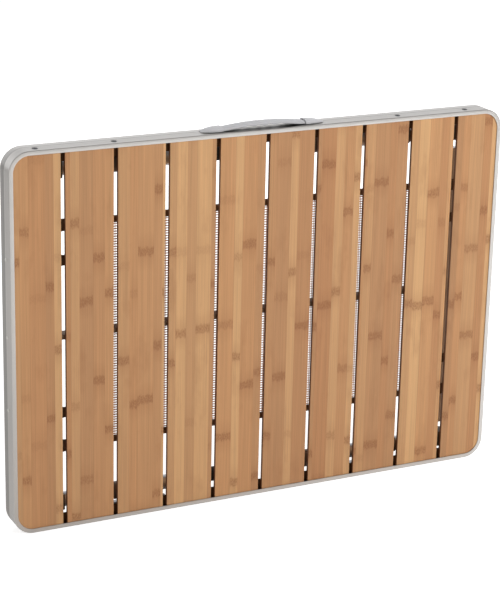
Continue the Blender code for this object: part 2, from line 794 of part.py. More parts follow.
def build_inner_tube(model, corner, leg_axis):
    """The sliding tube of a leg with its guide bush, and the foot pressed on its end."""
    bush_end = INNER_TUBE_START + GUIDE_BUSH_LENGTH
    profile = (
        (INNER_TUBE_BORE, INNER_TUBE_START),
        (GUIDE_BUSH_RADIUS, INNER_TUBE_START),
        (GUIDE_BUSH_RADIUS, bush_end),
        (INNER_TUBE_RADIUS, bush_end),
        (INNER_TUBE_RADIUS, INNER_TUBE_END),
        (INNER_TUBE_BORE, INNER_TUBE_END),
    )
    place = corner.point(INNER_TUBE_END, LEG_AXIS_DEPTH, LEG_INSET)
    tube = moved(turned_along_leg(profile, ROUND_SIDES), corner.matrix())
    model.add("inner_tube_" + corner.name, tube, "leg_tube", place, leg_axis)
    socket = INNER_TUBE_RADIUS + GAP
    floor = INNER_TUBE_END + GAP
    foot = (
        (0.0, floor),
        (socket, floor),
        (socket, FOOT_START),
        (FOOT_RADIUS - FOOT_ROUND / 2, FOOT_START),
        (FOOT_RADIUS, FOOT_START + FOOT_ROUND),
        (FOOT_RADIUS, FOOT_END - FOOT_ROUND),
        (FOOT_RADIUS - FOOT_ROUND, FOOT_END),
        (0.0, FOOT_END),
    )
    shape = moved(turned_along_leg(foot, ROUND_SIDES), corner.matrix())
    model.add("foot_" + corner.name, shape, "foot_rubber", place, leg_axis)


def drilled_link(start, end, inset, rivet):
    """A flat brace link with a hole at its first end and a rivet at its second."""
    outline = stadium(start, end, LINK_WIDTH / 2, LINK_END_STEPS)
    bar = joined(prism(outline, inset, inset + LINK_THICKNESS), rivet)
    hole_radius = PIN_RADIUS + GAP
    low = inset - LINK_THICKNESS
    high = inset + 2 * LINK_THICKNESS
    hole = ((0.0, low), (hole_radius, low), (hole_radius, high), (0.0, high))
    return cut(bar, turned_inwards(hole, start[0], start[1], SMALL_SIDES))


def build_links(model, corner, leg_axis):
    """The two links of a folding brace, which meet at the knuckle."""
    knuckle = (KNUCKLE_REACH, KNUCKLE_DEPTH)
    anchor = (ANCHOR_REACH, PIVOT_DEPTH)
    stud = (BRACE_STUD_REACH, LEG_AXIS_DEPTH)
    head_low = FRAME_LINK_INSET - RIVET_HEAD_HEIGHT
    middle = FRAME_LINK_INSET + LINK_THICKNESS / 2
    rivet = (
        (0.0, head_low),
        (BOLT_HEAD_RADIUS, head_low),
        (BOLT_HEAD_RADIUS, middle),
        (PIN_RADIUS, middle),
        (PIN_RADIUS, LEG_LINK_INSET - GAP),
        (0.0, LEG_LINK_INSET - GAP),
    )
    rivet_shape = turned_inwards(rivet, *knuckle, SMALL_SIDES)
    link = drilled_link(anchor, knuckle, FRAME_LINK_INSET, rivet_shape)
    place = corner.point(ANCHOR_REACH, PIVOT_DEPTH, FRAME_LINK_INSET)
    model.add("brace_link_frame_" + corner.name, moved(link, corner.matrix()), "steel", place)
    middle = LEG_LINK_INSET + LINK_THICKNESS / 2
    high = LEG_LINK_INSET + LINK_THICKNESS + RIVET_HEAD_HEIGHT
    button = ((0.0, middle), (BOLT_HEAD_RADIUS, middle), (BOLT_HEAD_RADIUS, high), (0.0, high))
    button_shape = turned_inwards(button, *knuckle, SMALL_SIDES)
    link = drilled_link(stud, knuckle, LEG_LINK_INSET, button_shape)
    place = corner.point(BRACE_STUD_REACH, LEG_AXIS_DEPTH, LEG_LINK_INSET)
    shape = moved(link, corner.matrix())
    model.add("brace_link_leg_" + corner.name, shape, "steel", place, leg_axis)


def build_cross_member(model, side, corner, leg_axis):
    """The bar that ties the two legs of one frame together at their heads."""
    half = CROSS_MEMBER_HALF_LENGTH
    edge = CROSS_MEMBER_RADIUS - HEAD_BEVEL
    end = MID_HEIGHT - LEG_INSET - HEAD_HALF_WIDTH + SPIGOT_DEPTH - GAP
    side_half = (
        (0.0, end),
        (SPIGOT_RADIUS, end),
        (SPIGOT_RADIUS, half),
        (edge, half),
        (CROSS_MEMBER_RADIUS, half - HEAD_BEVEL),
    )
    profile = side_half + tuple((radius, -height) for radius, height in reversed(side_half))
    place = corner.point(CROSS_MEMBER_REACH, CROSS_MEMBER_DEPTH, MID_HEIGHT)
    shape = moved(turned(profile, ROUND_SIDES), Matrix.Translation(place))
    model.add("leg_cross_member_" + side, shape, "leg_tube", leg_axis["world_place"], leg_axis)


def build_strap(model, corner, leg_axis):
    """A webbing strap: two loops round the cross member, sewn to one bar at the net's end."""
    net_end = NET_LEFT if corner.side == "left" else NET_RIGHT
    bar_end = abs(net_end - corner.pivot_x) - GAP
    bar_start = bar_end - STRAP_BAR_WIDTH
    middle_depth = NET_DEPTH + NET_THICKNESS / 2
    bar_front = middle_depth - STRAP_THICKNESS
    bar_rear = middle_depth + STRAP_THICKNESS
    centre = (CROSS_MEMBER_REACH, CROSS_MEMBER_DEPTH)
    inner_radius = CROSS_MEMBER_RADIUS + GAP
    steps = STRAP_LOOP_STEPS
    inner = teardrop(centre, inner_radius, (bar_start - STRAP_BAR_WIDTH, middle_depth), steps)
    outer = teardrop(centre, inner_radius + STRAP_THICKNESS, (bar_start + GAP, middle_depth), steps)
    low_bar, high_bar = (MID_HEIGHT - height for height in reversed(STRAP_BAR_HEIGHTS))
    bar = box((bar_start - STRAP_BAR_WIDTH, bar_front, low_bar), (bar_end, bar_rear, high_bar))
    loops = []
    for inner_height, outer_height in STRAP_HEIGHTS:
        low = MID_HEIGHT - outer_height
        high = MID_HEIGHT - inner_height
        loops.append(cut(prism(outer, low, high), prism(inner, low - GAP, high + GAP)))
    shape = moved(joined(bar, *loops), corner.matrix())
    model.add("net_strap_" + corner.name, shape, "webbing", leg_axis["world_place"], leg_axis)


def build_leg_frame(model, side, corners):
    """One folding leg frame: two legs, their cross member, collars, sliding tubes and braces."""
    first = corners[0]
    place = first.point(0.0, PIVOT_DEPTH, MID_HEIGHT)
    leg_axis = model.axis("leg_axis_" + side, place)
    build_cross_member(model, side, first, leg_axis)
    for corner in corners:
        build_leg_head(model, corner, leg_axis)
        build_outer_tube(model, corner, leg_axis)
        build_saddle(model, corner, leg_axis)
        build_collar(model, corner, leg_axis)
        build_inner_tube(model, corner, leg_axis)
        build_links(model, corner, leg_axis)
        build_strap(model, corner, leg_axis)


def smooth_step(share):
    """An even start and stop between 0 and 1."""
    share = min(max(share, 0.0), 1.0)
    return share * share * (3.0 - 2.0 * share)


def grip_section(place_x):
    """Underside, crown and half width of the grip at one place along it, above the rim."""
    centre = (GRIP_LEFT + GRIP_RIGHT) / 2
    half = (GRIP_RIGHT - GRIP_LEFT) / 2
    share = abs(place_x - centre) / half
    crown = GRIP_END_RISE + (GRIP_RISE - GRIP_END_RISE) * (1.0 - share ** 2)
    rise = smooth_step((1.0 - share) * half / GRIP_SHOULDER)
    under = TONGUE_CLEARANCE + (GRIP_CLEARANCE - TONGUE_CLEARANCE) * rise
    scallops = (place_x - centre) / SCALLOP_PITCH
    if abs(scallops) < SCALLOP_COUNT / 2:
        under += SCALLOP_RISE * math.sin(math.pi * scallops) ** 2
    return under, crown, GRIP_HALF_WIDTH - GRIP_END_NARROWING * share ** 2


def section_ring(place_x, low, high, half_width):
    """A section across the handle: flat below, with a crown whose shoulders are elliptical."""
    flat = half_width * SECTION_CROWN_SHARE
    side = low + (high - low) * SECTION_SIDE_SHARE
    outline = [(half_width - SECTION_EDGE, low), (half_width, low + SECTION_EDGE)]
    for degrees in SECTION_CROWN_ANGLES:
        angle = math.radians(degrees)
        across = flat + (half_width - flat) * math.cos(angle)
        outline.append((across, side + (high - side) * math.sin(angle)))
    outline.extend([(-across, height) for across, height in reversed(outline)])
    return [(place_x, across, TABLE_WIDTH + height) for across, height in outline]


def build_handle(model):
    """The arched grip with its finger scallops and the two tongues that slide in the caps."""
    rings = []
    for station in range(GRIP_STATIONS):
        place_x = GRIP_LEFT + (GRIP_RIGHT - GRIP_LEFT) * station / (GRIP_STATIONS - 1)
        low, high, half_width = grip_section(place_x)
        rings.append(section_ring(place_x, low, high, half_width))
    grip = loft(rings)
    tongues = []
    for end, outwards in ((GRIP_LEFT, -1.0), (GRIP_RIGHT, 1.0)):
        ends = sorted((end - outwards * TONGUE_THICKNESS, end + outwards * TONGUE_LENGTH))
        low_z = TABLE_WIDTH + TONGUE_CLEARANCE + GAP
        low = (ends[0], -TONGUE_HALF_WIDTH, low_z)
        high = (ends[1], TONGUE_HALF_WIDTH, low_z + TONGUE_THICKNESS)
        tongues.append(box(low, high))
    place = ((GRIP_LEFT + GRIP_RIGHT) / 2, 0.0, TABLE_WIDTH)
    model.add("carry_handle", joined(grip, *tongues), "grip_rubber", place)


def build_handle_caps(model):
    """The moulded cap over each end of the handle, hollow for the tongue's travel."""
    for side, grip_end, outwards in (("left", GRIP_LEFT, -1.0), ("right", GRIP_RIGHT, 1.0)):
        mouth = grip_end + outwards * CAP_INNER_GAP
        rings = []
        for station in range(CAP_STATIONS):
            share = math.sin(math.pi / 2 * station / (CAP_STATIONS - 1))
            drop = share ** CAP_TAPER_POWER
            height = CAP_HEIGHT + (CAP_TOE_HEIGHT - CAP_HEIGHT) * drop
            half_width = CAP_HALF_WIDTH + (CAP_TOE_HALF_WIDTH - CAP_HALF_WIDTH) * drop
            rings.append(section_ring(mouth + outwards * CAP_LENGTH * share, GAP, height, half_width))
        pocket_end = grip_end + outwards * (TONGUE_LENGTH + CAP_INNER_GAP)
        pocket_ends = sorted((mouth - outwards * CAP_INNER_GAP, pocket_end))
        ceiling = TONGUE_CLEARANCE + TONGUE_THICKNESS + HANDLE_LIFT + 3 * GAP
        low = (pocket_ends[0], -CAP_POCKET_HALF_WIDTH, TABLE_WIDTH - GAP)
        high = (pocket_ends[1], CAP_POCKET_HALF_WIDTH, TABLE_WIDTH + ceiling)
        model.add("handle_cap_" + side, cut(loft(rings), box(low, high)), "moulding")


def main():
    """Build the whole table."""
    clear_scene()
    model = Model()
    corners = [Corner(side, edge) for side in ("left", "right") for edge in ("bottom", "top")]
    build_rim(model, corners)
    build_slats(model)
    build_rail(model)
    build_net(model)
    build_handle(model)
    build_handle_caps(model)
    for corner in corners:
        build_side_plate(model, corner)
    for side in ("left", "right"):
        build_leg_frame(model, side, [corner for corner in corners if corner.side == side])


main()
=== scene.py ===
"""Folding camping table, folded on its long edge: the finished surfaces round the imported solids.

Places behind the slatted top use three measures. "Reach" runs from a leg's pivot towards the
middle of the table, "depth" from the front of the rim towards its back, and "inset" inwards from
the rim's outer face. Metres throughout, +Z up, and the slatted top faces -Y.
"""

from __future__ import annotations

import logging
import math
from dataclasses import dataclass
from enum import Enum
from typing import Callable, Sequence

import bmesh
import bpy
import numpy as np
from mathutils import Matrix, Vector

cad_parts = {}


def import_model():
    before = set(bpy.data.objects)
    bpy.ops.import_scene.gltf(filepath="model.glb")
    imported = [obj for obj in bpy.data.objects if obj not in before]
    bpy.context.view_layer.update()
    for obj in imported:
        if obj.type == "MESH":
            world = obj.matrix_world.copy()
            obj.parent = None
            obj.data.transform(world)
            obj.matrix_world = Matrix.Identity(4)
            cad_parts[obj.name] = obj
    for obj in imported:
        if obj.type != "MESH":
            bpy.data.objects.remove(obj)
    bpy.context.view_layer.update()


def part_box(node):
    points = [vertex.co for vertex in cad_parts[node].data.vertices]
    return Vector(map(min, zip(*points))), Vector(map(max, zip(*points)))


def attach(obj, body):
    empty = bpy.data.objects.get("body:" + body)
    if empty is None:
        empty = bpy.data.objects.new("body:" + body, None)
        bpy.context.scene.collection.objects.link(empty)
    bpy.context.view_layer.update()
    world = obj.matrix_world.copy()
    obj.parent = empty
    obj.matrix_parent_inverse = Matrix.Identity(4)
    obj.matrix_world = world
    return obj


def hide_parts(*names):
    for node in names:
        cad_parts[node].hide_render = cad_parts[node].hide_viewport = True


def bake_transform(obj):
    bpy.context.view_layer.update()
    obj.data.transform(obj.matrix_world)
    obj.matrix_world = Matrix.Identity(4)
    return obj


LOG = logging.getLogger("camping_table")

Array = np.ndarray
Pair = tuple[float, float]
Triple = tuple[float, float, float]
Colour = Triple
Point = Triple

# A ramp is a range and the range that it is stretched to. A noise is its scale along each axis,
# its detail and its roughness.
Ramp = tuple[float, float, float, float]
Noise = tuple[Point, float, float]
Outline = Callable[[float], Array]
Material = bpy.types.Material
Node = bpy.types.Node
Object = bpy.types.Object
Outputs = bpy.types.NodeOutputs
Socket = bpy.types.NodeSocket
Tree = bpy.types.NodeTree

# The rim's outside, and along X the legs' pivots and the net's ends.
LENGTH = 0.900
WIDTH = 0.648
DEPTH = 0.044
RIM_CORNER = 0.035
SIDES = {"left": -1.0, "right": 1.0}
PIVOTS = {"left": -0.401, "right": 0.383}
NET_ENDS = {"left": -0.334, "right": 0.318}

# Points closer than MERGE become one, edges sharper than SMOOTH degrees stay sharp, and smooth
# noise mostly lies in NOISE_SPAN.
MERGE = 0.000002
SMALLEST_ROUND = 0.0002
SMOOTH = 32.0
NOISE_SPAN = (0.3, 0.7)
WHITE = (1.0, 1.0, 1.0, 1.0)


def srgb(red: int, green: int, blue: int) -> Colour:
    """Turn a display colour, 0 to 255, into the linear one that a shader needs.

    Args:
        red, green, blue: The colour's parts as a screen shows them.

    Returns:
        The linear colour.
    """
    parts = np.array((red, green, blue)) / 255.0
    linear = np.where(parts <= 0.04045, parts / 12.92, ((parts + 0.055) / 1.055) ** 2.4)
    return tuple(float(part) for part in linear)


# Surfaces worked out with numpy


class Surface:
    """Points and faces of one piece, gathered before they become an object."""

    def __init__(self) -> None:
        """Start with nothing."""
        self.points: list[Array] = []
        self.faces: list[list[int]] = []
        self.count = 0

    def grid(
        self,
        points: Array,
        wrap_rows: bool = False,
        wrap_columns: bool = False,
        caps: bool = False,
    ) -> Surface:
        """Add a grid of points with the faces between them.

        Args:
            points: Places with the shape (rows, columns, 3).
            wrap_rows: Whether the last row joins the first.
            wrap_columns: Whether each row is a ring.
            caps: Whether the first and last rows are each filled by one flat face.

        Returns:
            This surface, so that calls can follow each other.
        """
        rows, columns = points.shape[:2]
        numbers = np.arange(rows * columns).reshape(rows, columns) + self.count
        quads = np.stack((
            numbers, np.roll(numbers, -1, 1), np.roll(numbers, (-1, -1), (0, 1)), np.roll(numbers, -1, 0),
        ), axis=-1)
        quads = quads[: rows if wrap_rows else rows - 1, : columns if wrap_columns else columns - 1]
        self.faces.extend(quads.reshape(-1, 4).tolist())
        if caps:
            self.faces.append(numbers[0, ::-1].tolist())
            self.faces.append(numbers[-1].tolist())
        self.points.append(points.reshape(-1, 3))
        self.count += rows * columns
        return self

    def tube(self, rings: Array) -> Surface:
        """Add a tube of rings, closed by a flat face at each end."""
        return self.grid(rings, wrap_columns=True, caps=True)

    def placed(self, matrix: Array) -> Surface:
        """Put every point through a four by four matrix, and give this surface again."""
        self.points = [part @ matrix[:3, :3].T + matrix[:3, 3] for part in self.points]
        return self

    def mesh(self, name: str, smooth_degrees: float = SMOOTH) -> bpy.types.Mesh:
        """Make the mesh, with its doubles merged and its faces turned outwards.

        Args:
            name: The mesh's name.
            smooth_degrees: Edges sharper than this stay sharp.

        Returns:
            The mesh.
        """
        mesh = bpy.data.meshes.new(name)
        mesh.from_pydata(np.concatenate(self.points), [], self.faces)
        return cleaned(mesh, smooth_degrees)


def cleaned(mesh: bpy.types.Mesh, smooth_degrees: float) -> bpy.types.Mesh:
    """Merge a mesh's doubles, turn its faces outwards and shade it smooth.

    Args:
        mesh: The mesh, which is changed.
        smooth_degrees: Edges sharper than this stay sharp.

    Returns:
        The same mesh.
    """
    shape = bmesh.new()
    shape.from_mesh(mesh)
    bmesh.ops.remove_doubles(shape, verts=shape.verts, dist=MERGE)
    bmesh.ops.dissolve_degenerate(shape, edges=shape.edges, dist=MERGE)
    bmesh.ops.recalc_face_normals(shape, faces=shape.faces)
    shape.to_mesh(mesh)
    shape.free()
    mesh.shade_smooth()
    mesh.set_sharp_from_angle(angle=math.radians(smooth_degrees))
    return mesh


def arc(centre: Sequence[float], radius: float, start: float, end: float, steps: int) -> Array:
    """Points on an arc: centre plus radius times (cosine, sine) of an evenly stepped angle.

    Args:
        centre: The arc's centre.
        radius: Its radius.
        start, end: Its first and last angle in degrees.
        steps: How many equal steps it has.

    Returns:
        The points, with the shape (steps + 1, 2).
    """
    angle = np.radians(np.linspace(start, end, steps + 1))
    return np.stack((centre[0] + radius * np.cos(angle), centre[1] + radius * np.sin(angle)), -1)


def filleted(points: Sequence[Sequence[float]], radius: float, closed: bool, steps: int = 3) -> Array:
    """Round the corners of a flat outline.

    Each corner becomes the curve between two points on its sides: the quadratic through them
    whose middle control is the corner itself. The two points lie the radius away from the
    corner, or two fifths of the side where that is less.

    Args:
        points: The outline's corners.
        radius: How far from a corner its rounding starts.
        closed: Whether the outline is a ring. The ends of an open one stay as they are.
        steps: How many steps each rounding has.

    Returns:
        The rounded outline.
    """
    corners = np.array(points, float)
    before = np.roll(corners, 1, axis=0)
    after = np.roll(corners, -1, axis=0)
    rounded: list[Array] = []
    share = np.linspace(0.0, 1.0, steps + 1)[:, None]
    for index, (last, corner, following) in enumerate(zip(before, corners, after)):
        if not closed and index in (0, len(corners) - 1):
            rounded.append(corner[None, :])
            continue
        to_last = last - corner
        to_next = following - corner
        near = corner + to_last * min(radius / np.linalg.norm(to_last), 0.4)
        far = corner + to_next * min(radius / np.linalg.norm(to_next), 0.4)
        rounded.append((1 - share) ** 2 * near + 2 * share * (1 - share) * corner + share**2 * far)
    return np.concatenate(rounded)


def turned(profile: Array, sides: int, closed: bool) -> Surface:
    """Turn a profile about the Z axis: (radius cos t, radius sin t, height) for t round a circle.

    Args:
        profile: Pairs of radius and height. An open one starts and ends on the axis.
        sides: How many steps the circle has.
        closed: Whether the profile is a ring itself, as for a tube.

    Returns:
        The turned surface.
    """
    angle = np.linspace(0.0, 2 * math.pi, sides, endpoint=False)[:, None]
    radius = profile[None, :, 0]
    height = np.broadcast_to(profile[None, :, 1], (sides, len(profile)))
    points = np.stack((radius * np.cos(angle), radius * np.sin(angle), height), axis=-1)
    return Surface().grid(points, wrap_rows=True, wrap_columns=closed)


def drawn_in(points: Array) -> Outline:
    """An outline that can be drawn in: each point moves inwards, square to its two neighbours.

    Args:
        points: The outline, anticlockwise.

    Returns:
        A function from how far it draws in to the points.
    """
    sides = np.roll(points, -1, axis=0) - np.roll(points, 1, axis=0)
    inward = np.stack((-sides[:, 1], sides[:, 0]), -1)
    inward /= np.linalg.norm(inward, axis=1, keepdims=True)
    return lambda draw: points + draw * inward


def plate(outline: Outline, low: float, high: float, edge: float, steps: int = 3) -> Surface:
    """A flat plate with rounded edges.

    The outline is carried from the low face to the high one. Near each face it draws in by
    edge times (1 - sin t) while it rises by edge times (1 - cos t), a quarter round. One more
    ring lies inside each flat face, so that the face is shaded flat.

    Args:
        outline: The plate's outline, as a function of how far it draws in.
        low, high: The heights of its two faces.
        edge: The radius of its edges.
        steps: How many steps a quarter round has.

    Returns:
        The plate.
    """
    quarter = np.linspace(0.0, math.pi / 2, steps + 1)
    draws = np.append(2 * edge, edge * (1 - np.sin(quarter)))
    rises = np.append(0.0, edge * (1 - np.cos(quarter)))
    levels = [(draw, low + rise) for draw, rise in zip(draws, rises)]
    levels += [(draw, high - rise) for draw, rise in reversed(list(zip(draws, rises)))]
    rings = []
    for draw, height in levels:
        flat = outline(draw)
        rings.append(np.column_stack((flat, np.full(len(flat), height))))
    return Surface().tube(np.stack(rings))


def rounded_rectangle(
    low: Sequence[float], high: Sequence[float], radii: Sequence[float], steps: int
) -> Outline:
    """The outline of a rectangle with its own radius at each corner, anticlockwise.

    Args:
        low, high: Opposite corners.
        radii: The radii at high-high, low-high, low-low and high-low.
        steps: How many steps each corner has.

    Returns:
        A function from how far the outline draws in to its points.
    """
    corners = (
        (high[0], high[1], -1, -1, 0),
        (low[0], high[1], 1, -1, 90),
        (low[0], low[1], 1, 1, 180),
        (high[0], low[1], -1, 1, 270),
    )

    def outline(draw: float) -> Array:
        """The points, drawn in."""
        parts = []
        for (across, along, side, rise, start), radius in zip(corners, radii):
            left = max(radius - draw, SMALLEST_ROUND)
            centre = (across + side * (draw + left), along + rise * (draw + left))
            parts.append(arc(centre, left, start, start + 90, steps))
        return np.concatenate(parts)

    return outline


def stadium(start: Sequence[float], end: Sequence[float], half_width: float, steps: int) -> Outline:
    """The outline of a bar with round ends between two points, anticlockwise.

    Args:
        start, end: The centres of its round ends.
        half_width: Half the bar's width.
        steps: How many steps each half round has.

    Returns:
        A function from how far the outline draws in to its points.
    """
    heading = math.degrees(math.atan2(end[1] - start[1], end[0] - start[0]))

    def outline(draw: float) -> Array:
        """The points, drawn in."""
        far = arc(end, half_width - draw, heading - 90, heading + 90, steps)
        near = arc(start, half_width - draw, heading + 90, heading + 270, steps)
        return np.concatenate((far, near))

    return outline


def ring_of(*corners: Sequence[float], fillet: float, steps: int = 3) -> Array:
    """A closed section with rounded corners, for a tube or another ring."""
    return filleted(corners, fillet, True, steps)


def line_of(*corners: Sequence[float], fillet: float, steps: int = 3) -> Array:
    """An open profile with rounded corners, from the axis back to the axis."""
    return filleted(corners, fillet, False, steps)


def box_ring(low: Sequence[float], high: Sequence[float], fillet: float, steps: int = 3) -> Array:
    """A rectangular section with rounded corners, anticlockwise from its low corner."""
    return ring_of(low, (high[0], low[1]), high, (low[0], high[1]), fillet=fillet, steps=steps)


def stepped(start: float, *runs: Pair) -> Array:
    """The profile of a stepped rod, from the axis back to the axis.

    Args:
        start: The height at which the rod starts.
        runs: The radius of each run and the height at which it ends.

    Returns:
        Pairs of radius and height.
    """
    corners = [(0.0, start)]
    for radius, end in runs:
        corners += [(radius, start), (radius, end)]
        start = end
    return np.array([*corners, (0.0, start)])


def new_object(name: str, data: bpy.types.ID) -> Object:
    """Put a new object into the scene.

    Args:
        name: Its name.
        data: Its mesh, camera or light.

    Returns:
        The object.
    """
    obj = bpy.data.objects.new(name, data)
    bpy.context.scene.collection.objects.link(obj)
    return obj


def piece(name: str, surface: Surface, material: Material, smooth_degrees: float = SMOOTH) -> Object:
    """Make an object at the origin from a surface in the table's own frame.

    Args:
        name: The object's name.
        surface: Its points and faces.
        material: Its finish.
        smooth_degrees: Edges sharper than this stay sharp.

    Returns:
        The object.
    """
    mesh = surface.mesh(name, smooth_degrees)
    mesh.materials.append(material)
    LOG.info("made %s", name)
    return new_object(name, mesh)


def fit(obj: Object, body: str, node: str) -> Object:
    """Let a piece ride on a body and stand for a solid.

    Args:
        obj: The piece.
        body: The body that it rides on.
        node: The solid that it stands for.

    Returns:
        The piece.
    """
    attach(obj, body)
    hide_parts(node)
    return obj


def block(low: Sequence[float], high: Sequence[float], ends: Sequence[float]) -> Surface:
    """A plain box along X between two ends, from its low and high corner in Y and Z."""
    section = np.array(((low[0], low[1]), (high[0], low[1]), (high[0], high[1]), (low[0], high[1])))
    return Surface().tube(repeated(section, ends))


def repeated(section: Array, places: Sequence[float]) -> Array:
    """A section in Y and Z, repeated at places along X."""
    return np.stack([np.column_stack((np.full(len(section), place), section)) for place in places])


def cut_away(obj: Object, cutters: Sequence[Surface]) -> None:
    """Cut closed surfaces out of a piece, for good.

    Args:
        obj: The piece.
        cutters: The surfaces to cut with.
    """
    tools = []
    for number, cutter in enumerate(cutters):
        tool = new_object("cutter", cutter.mesh("cutter"))
        modifier = obj.modifiers.new("Cut %d" % number, 'BOOLEAN')
        modifier.operation = 'DIFFERENCE'
        modifier.object = tool
        tools.append(tool)
    graph = bpy.context.evaluated_depsgraph_get()
    result = bpy.data.meshes.new_from_object(obj.evaluated_get(graph))
    obj.modifiers.clear()
    obj.data = cleaned(result, SMOOTH)
    for tool in tools:
        bpy.data.objects.remove(tool, do_unlink=True)


# Finishes


def toned(colour: Colour, factor: float = 1.0) -> tuple[float, float, float, float]:
    """A colour made darker or lighter by a factor, as a node's input needs it."""
    return (*(min(part * factor, 1.0) for part in colour), 1.0)


class Nodes:
    """A short way to write a node tree."""

    def __init__(self, tree: Tree) -> None:
        """Work on one tree, a material's or a group's."""
        self.tree = tree

    def fill(self, node: Node, inputs: dict) -> Node:
        """Give a node's inputs their values.

        Args:
            node: The node.
            inputs: A value or an output socket for each named or numbered input.

        Returns:
            The node.
        """
        for key, value in inputs.items():
            if isinstance(value, Socket):
                self.tree.links.new(value, node.inputs[key])
            else:
                node.inputs[key].default_value = value
        return node

    def add(self, kind: str, inputs: dict | None = None, **settings: object) -> Node:
        """Add a node.

        Args:
            kind: The node's type.
            inputs: A value or an output socket for each named or numbered input.
            settings: The node's own properties.

        Returns:
            The node.
        """
        node = self.tree.nodes.new(kind)
        for key, value in settings.items():
            setattr(node, key, value)
        return self.fill(node, inputs or {})

    def group(self, tree: Tree, inputs: dict) -> Outputs:
        """Place a node group with its inputs, for its outputs."""
        return self.add("ShaderNodeGroup", inputs, node_tree=tree).outputs

    def coordinates(self, name: str) -> Socket:
        """One of the texture coordinates."""
        return self.add("ShaderNodeTexCoord").outputs[name]

    def parts(self, vector: Socket) -> Outputs:
        """The X, Y and Z parts of a vector."""
        return self.add("ShaderNodeSeparateXYZ", {0: vector}).outputs

    def math(self, operation: str, first: object, second: object = 0.0) -> Socket:
        """One operation on two numbers or sockets."""
        return self.add("ShaderNodeMath", {0: first, 1: second}, operation=operation).outputs[0]

    def product(self, first: object, *others: object) -> Socket:
        """Numbers or sockets multiplied with each other.

        Args:
            first: The first factor.
            others: The other factors.

        Returns:
            The product's socket.
        """
        for other in others:
            first = self.math('MULTIPLY', first, other)
        return first

    def away(self, value: object, centre: float) -> Socket:
        """How far a number is from a centre, without its sign."""
        return self.math('ABSOLUTE', self.math('SUBTRACT', value, centre))

    def mix(self, share: object, first: object, second: object, blend: str = 'MIX') -> Socket:
        """Mix two colours.

        Args:
            share: How much of the second there is.
            first, second: Colours or sockets.
            blend: How they are mixed.

        Returns:
            The mixed colour's socket.
        """
        inputs = {0: share, 6: first, 7: second}
        return self.add("ShaderNodeMix", inputs, data_type='RGBA', blend_type=blend).outputs[2]

    def spread(
        self, value: object, low: float, high: float, to_low: float = 0.0, to_high: float = 1.0
    ) -> Socket:
        """Stretch a number from one range to another, clamped.

        Args:
            value: The number's socket.
            low, high: The range it has.
            to_low, to_high: The range it gets.

        Returns:
            The stretched number's socket.
        """
        inputs = {0: value, 1: low, 2: high, 3: to_low, 4: to_high}
        return self.add("ShaderNodeMapRange", inputs).outputs[0]

    def stretched(self, vector: Socket, scale: Point) -> Socket:
        """Coordinates scaled along each axis."""
        return self.add("ShaderNodeMapping", {"Vector": vector, "Scale": scale}).outputs[0]

    def noise(self, vector: Socket, scale: Point, detail: float, roughness: float) -> Socket:
        """Smooth noise between 0 and 1.

        Args:
            vector: Where it is read.
            scale: How fine it is along each axis.
            detail: How many finer layers it has.
            roughness: How strong the finer layers are.

        Returns:
            The noise's socket.
        """
        place = self.stretched(vector, scale)
        inputs = {"Vector": place, "Scale": 1.0, "Detail": detail, "Roughness": roughness}
        return self.add("ShaderNodeTexNoise", inputs).outputs[0]

    def whim(self, number: Socket) -> Socket:
        """White noise: a value between 0 and 1 that follows from one number alone."""
        return self.add("ShaderNodeTexWhiteNoise", {"W": number}, noise_dimensions='1D').outputs[0]

    def bump(self, height: Socket, strength: float, distance: float) -> Socket:
        """A normal that leans as a height rises and falls."""
        inputs = {"Height": height, "Strength": strength, "Distance": distance}
        return self.add("ShaderNodeBump", inputs).outputs[0]


class Group(Nodes):
    """A shader node group whose results are numbers."""

    def __init__(self, name: str, inputs: dict[str, float | None], outputs: Sequence[str]) -> None:
        """Make the group's sockets.

        Args:
            name: The group's name.
            inputs: Each input's usual value, or None for a vector.
            outputs: The names of its results.
        """
        super().__init__(bpy.data.node_groups.new(name, "ShaderNodeTree"))
        for label, value in inputs.items():
            kind = "NodeSocketVector" if value is None else "NodeSocketFloat"
            socket = self.tree.interface.new_socket(label, in_out='INPUT', socket_type=kind)
            if value is not None:
                socket.default_value = value
        for label in outputs:
            self.tree.interface.new_socket(label, in_out='OUTPUT', socket_type="NodeSocketFloat")
        self.start = self.add("NodeGroupInput").outputs
        self.end = self.add("NodeGroupOutput")


